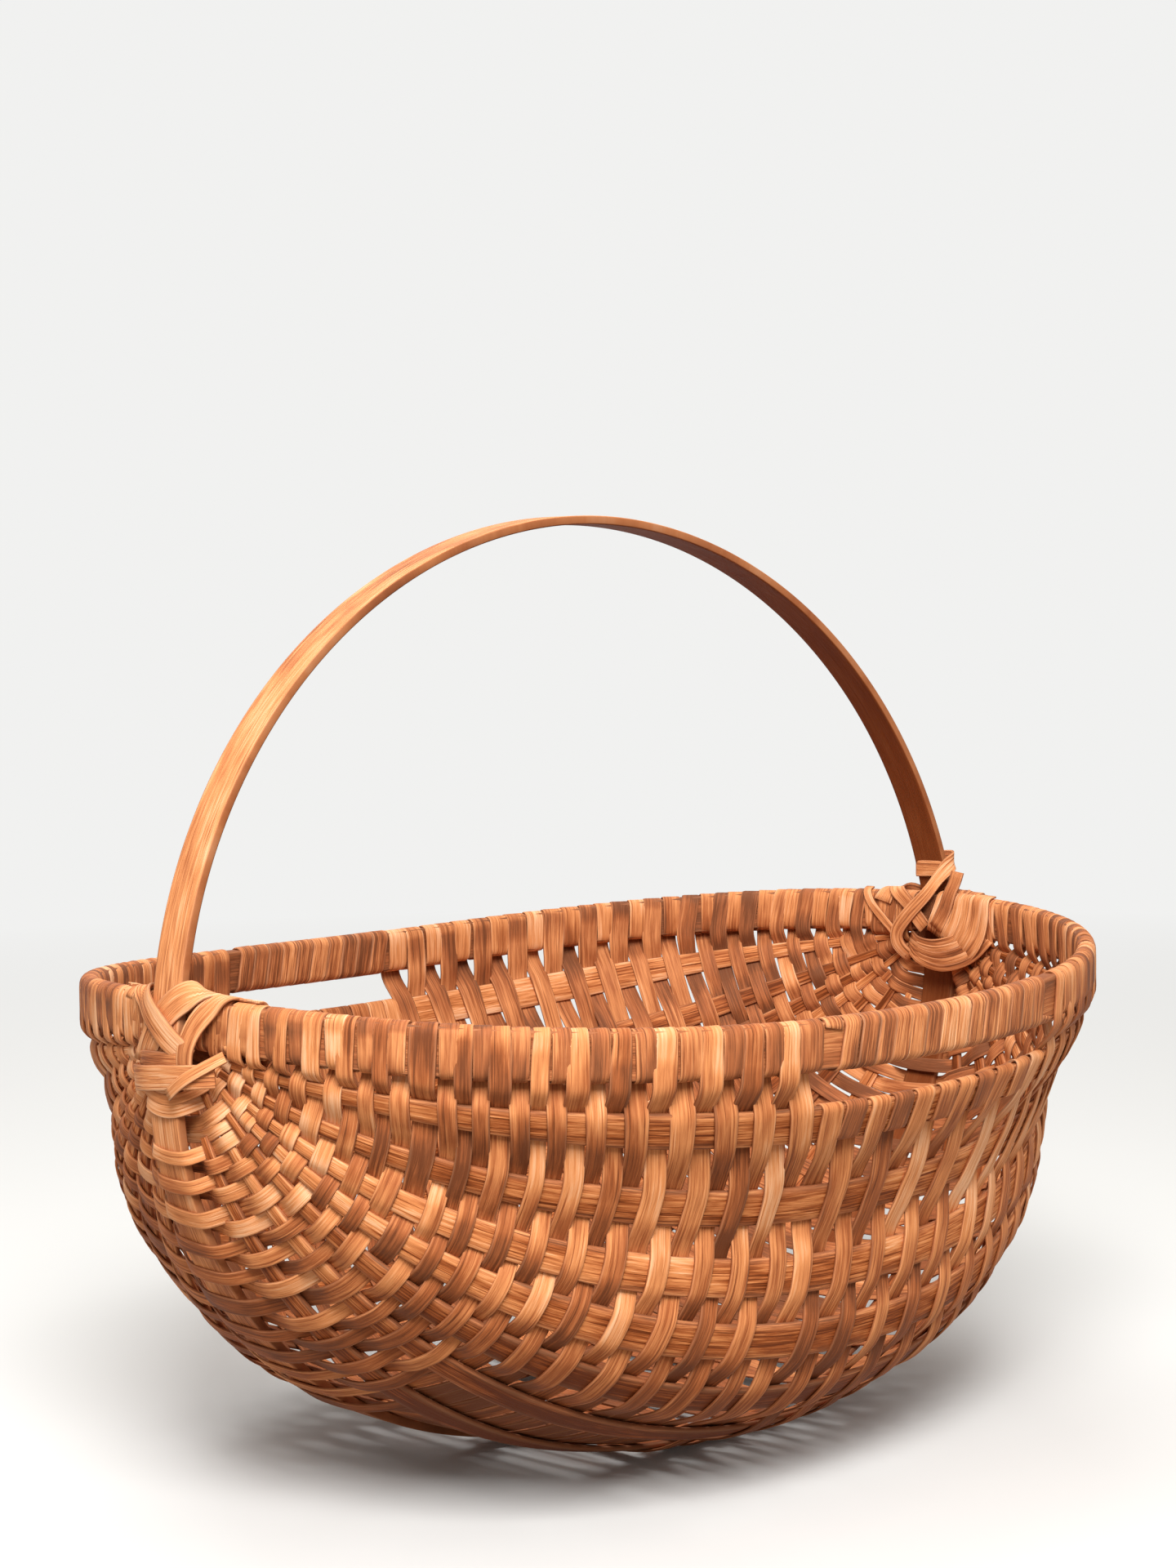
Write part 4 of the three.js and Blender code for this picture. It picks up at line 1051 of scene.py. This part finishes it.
def wood(name, shift, inner_red_painted_shade=0.0, pale=0.5, streak=0.66, gloss=0.5, shine=0.12, low_painted_shade=3.4):
    """Split wood with pale edges, partly wear and partly painted highlight, and painted shade at the sides,
    on inner faces and low down. grain is mm along a strip, mm across it and a number for the strip. tint is
    its tone with any painted shade, how near its edge, and whether on its outer face."""
    material = bpy.data.materials.new(name)
    n = Nodes(material)
    grain = n.attribute("grain")
    shade, edge, outer = n.split(n.attribute("tint"))
    place = n.add("ShaderNodeTexCoord").outputs["Object"]
    fibre, fine, lines, patch = (n.grain_noise(grain, *layer) for layer in (FIBRE, FINE, LINES, PATCH))
    tone = wood_tone(n, place, fibre, fine, lines, patch, shade, outer, streak, low_painted_shade)
    tone = n.math("MAXIMUM", n.math("ADD", tone, MIDDLE_TONE + shift), DARKEST_TONE)
    colour = n.ramp(tone, TONES)
    # Pale edges: partly wear, partly painted highlight
    wear_and_highlight = n.times(n.math("SMOOTH_MAX", n.math("SUBTRACT", edge, WEAR_AND_HIGHLIGHT_FROM), 0.0), WEAR_AND_HIGHLIGHT_SHARP, True)
    colour = n.mix(n.times(wear_and_highlight, n.times(fibre, pale * WEAR_AND_HIGHLIGHT_SHARE), True), colour, PALE)
    # Painted shade at the sides of a strip, where the gaps between strips are
    colour = n.mix(n.above(edge, *SIDE_PAINTED_SHADE), colour, REDDISH)
    # Painted shade on the inner face of the hoops
    if inner_red_painted_shade:
        colour = n.mix(n.below(outer, 1.0, inner_red_painted_shade), colour, n.mix(INNER_COLOUR_KEPT, REDDISH, colour))
    colour = n.mix(knots(n, grain, edge), colour, REDDISH)
    rough = n.math("ADD", n.times(fine, ROUGH_VARIES), gloss)
    relief = n.math("ADD", n.times(fibre, RELIEF_FIBRE), n.times(fine, RELIEF_FINE))
    bump = n.add("ShaderNodeBump", {"Strength": RELIEF_STRENGTH, "Distance": RELIEF_HEIGHT, "Height": relief})
    shader = n.add("ShaderNodeBsdfPrincipled", {
        "Base Color": colour, "Roughness": rough, "Normal": bump.outputs[0], "Specular IOR Level": shine})
    n.add("ShaderNodeOutputMaterial", {"Surface": shader.outputs[0]})
    return material


def weave_wood():
    return wood("weave_wood", 0.03)


def rib_wood():
    # Ribs get stronger painted shade low down
    return wood("rib_wood", -0.02, streak=1.05, low_painted_shade=4.6)


def wrap_wood():
    return wood("wrap_wood", 0.0, pale=0.8, streak=0.95)


def hold_wood():
    return wood("hold_wood", -0.12, pale=0.8, streak=1.1)


def hoop_wood():
    # The hoops' inner faces get painted shade
    return wood("hoop_wood", 0.06, inner_red_painted_shade=1.0, gloss=0.45, shine=0.1)


def rim_wood():
    return wood("rim_wood", -0.15)


# Camera of the photograph: its size and lens in pixels, where the rim's middle falls in it, and how it stands
PICTURE = (1440, 1920)
LENS_PIXELS = 3351.96
RIM_PIXEL = (745.78, 1192.28)
CAMERA_DISTANCE = 1018.29
CAMERA_TURN = math.radians(-45.775)
CAMERA_TILT = math.radians(7.7246)
CAMERA_ROLL = math.radians(0.671)
SENSOR = 36.0


def rotation(axis, angle):
    i, j = (axis + 1) % 3, (axis + 2) % 3
    matrix = np.eye(3)
    matrix[i, i] = matrix[j, j] = math.cos(angle)
    matrix[j, i] = math.sin(angle)
    matrix[i, j] = -matrix[j, i]
    return matrix


def fit_camera():
    """Camera from the fit to the rim and the handle."""
    level = math.cos(CAMERA_TILT)
    back = np.array([math.sin(CAMERA_TURN) * level, -math.cos(CAMERA_TURN) * level, math.sin(CAMERA_TILT)])
    right = unit(np.cross(-back, UP))
    rows = np.stack([right, np.cross(right, -back), -back])
    yaw = math.atan((RIM_PIXEL[0] - PICTURE[0] / 2) / LENS_PIXELS)
    pitch = math.atan((RIM_PIXEL[1] - PICTURE[1] / 2) / LENS_PIXELS * math.cos(yaw))
    rows = rotation(1, yaw) @ rotation(0, pitch) @ rotation(2, CAMERA_ROLL) @ rows
    matrix = np.eye(4)
    matrix[:3, 0], matrix[:3, 1], matrix[:3, 2] = rows[0], rows[1], -rows[2]
    matrix[:3, 3] = (back * CAMERA_DISTANCE + UP * RIM_Z) * MM
    camera = add_object("camera", bpy.data.cameras.new("camera"))
    camera.matrix_world = Matrix(matrix.tolist())
    camera.data.sensor_width = SENSOR
    camera.data.lens = LENS_PIXELS / PICTURE[1] * SENSOR
    bpy.context.scene.camera = camera


# Studio, in metres: a round floor that fades into the world, and two soft lamps
FLOOR_RADIUS = 12.0
FLOOR_SIDES = 64
FLOOR_SEEN = (0.70, 0.695, 0.68, 1)
FLOOR_THROWN_BACK = (0.24, 0.21, 0.18, 1)
FLOOR_ROUGH = 0.9
FADE_FROM = 0.45
FADE_PER_METRE = 0.8
BACKDROP = (0.88, 0.88, 0.87, 1)
WORLD_LIGHT = (0.9, 0.88, 0.84, 1)
WORLD_STRENGTH = 0.6
LAMP_TARGET = (0, 0, 0.12)
# Name, place, size and watts
LAMPS = [("key", (-0.75, -0.80, 1.14), 0.7, 31.5), ("top", (0.5, 1.0, 1.9), 1.4, 18)]


def paper():
    """Pale where the camera sees it, darker for the light it throws back, and like the world far away."""
    material = bpy.data.materials.new("pale_floor")
    n = Nodes(material)
    seen = directly_seen(n)
    colour = n.mix(seen, FLOOR_THROWN_BACK, FLOOR_SEEN)
    near = n.add("ShaderNodeBsdfPrincipled", {"Base Color": colour, "Roughness": FLOOR_ROUGH})
    far = n.add("ShaderNodeEmission", {"Color": BACKDROP, "Strength": 1.0})
    x, y, _ = n.split(n.add("ShaderNodeTexCoord").outputs["Object"])
    distance = n.math("SQRT", n.math("ADD", n.times(x, x), n.times(y, y)), 0.0)
    share = n.times(n.above(distance, FADE_FROM, FADE_PER_METRE), seen)
    blend = n.add("ShaderNodeMixShader", {0: share, 1: near.outputs[0], 2: far.outputs[0]})
    n.add("ShaderNodeOutputMaterial", {"Surface": blend.outputs[0]})
    return material


def pale_floor():
    around = np.linspace(0, 2 * math.pi, FLOOR_SIDES, endpoint=False)
    verts = [(FLOOR_RADIUS * math.cos(a), FLOOR_RADIUS * math.sin(a), 0.0) for a in around]
    mesh = bpy.data.meshes.new("floor")
    mesh.from_pydata(verts, [], [tuple(range(len(verts)))])
    mesh.materials.append(paper())
    floor = add_object("floor", mesh)


def pale_world():
    """Pale where the camera sees it, and a soft light of its own."""
    world = bpy.data.worlds.new("studio")
    bpy.context.scene.world = world
    n = Nodes(world)
    light = n.add("ShaderNodeBackground", {"Color": WORLD_LIGHT, "Strength": WORLD_STRENGTH})
    seen = n.add("ShaderNodeBackground", {"Color": BACKDROP, "Strength": 1.0})
    mix = n.add("ShaderNodeMixShader", {0: directly_seen(n), 1: light.outputs[0], 2: seen.outputs[0]})
    n.add("ShaderNodeOutputWorld", {"Surface": mix.outputs[0]})


def soft_lamp(name, place, size, power):
    light = bpy.data.lights.new(name, "AREA")
    light.size = size
    light.energy = power
    lamp = add_object(name, light)
    lamp.location = place
    lamp.rotation_euler = (Vector(LAMP_TARGET) - Vector(place)).to_track_quat("-Z", "Y").to_euler()


def studio():
    pale_floor()
    pale_world()
    for lamp in LAMPS:
        soft_lamp(*lamp)
    bpy.context.scene.view_settings.view_transform = "Standard"


fit_camera()
studio()
handle_hoop(hoop_wood())
rim_hoop(rim_wood())
ribs(rib_wood())
weave_rows(weave_wood())
wrap_rng = np.random.default_rng(SEED + 2)
winding_material = hold_wood()
for far in (False, True):
    hold(wrap_rng, far, winding_material)
lashing_material = wrap_wood()
for side in (-1, 1):
    ear(wrap_rng, side, lashing_material)
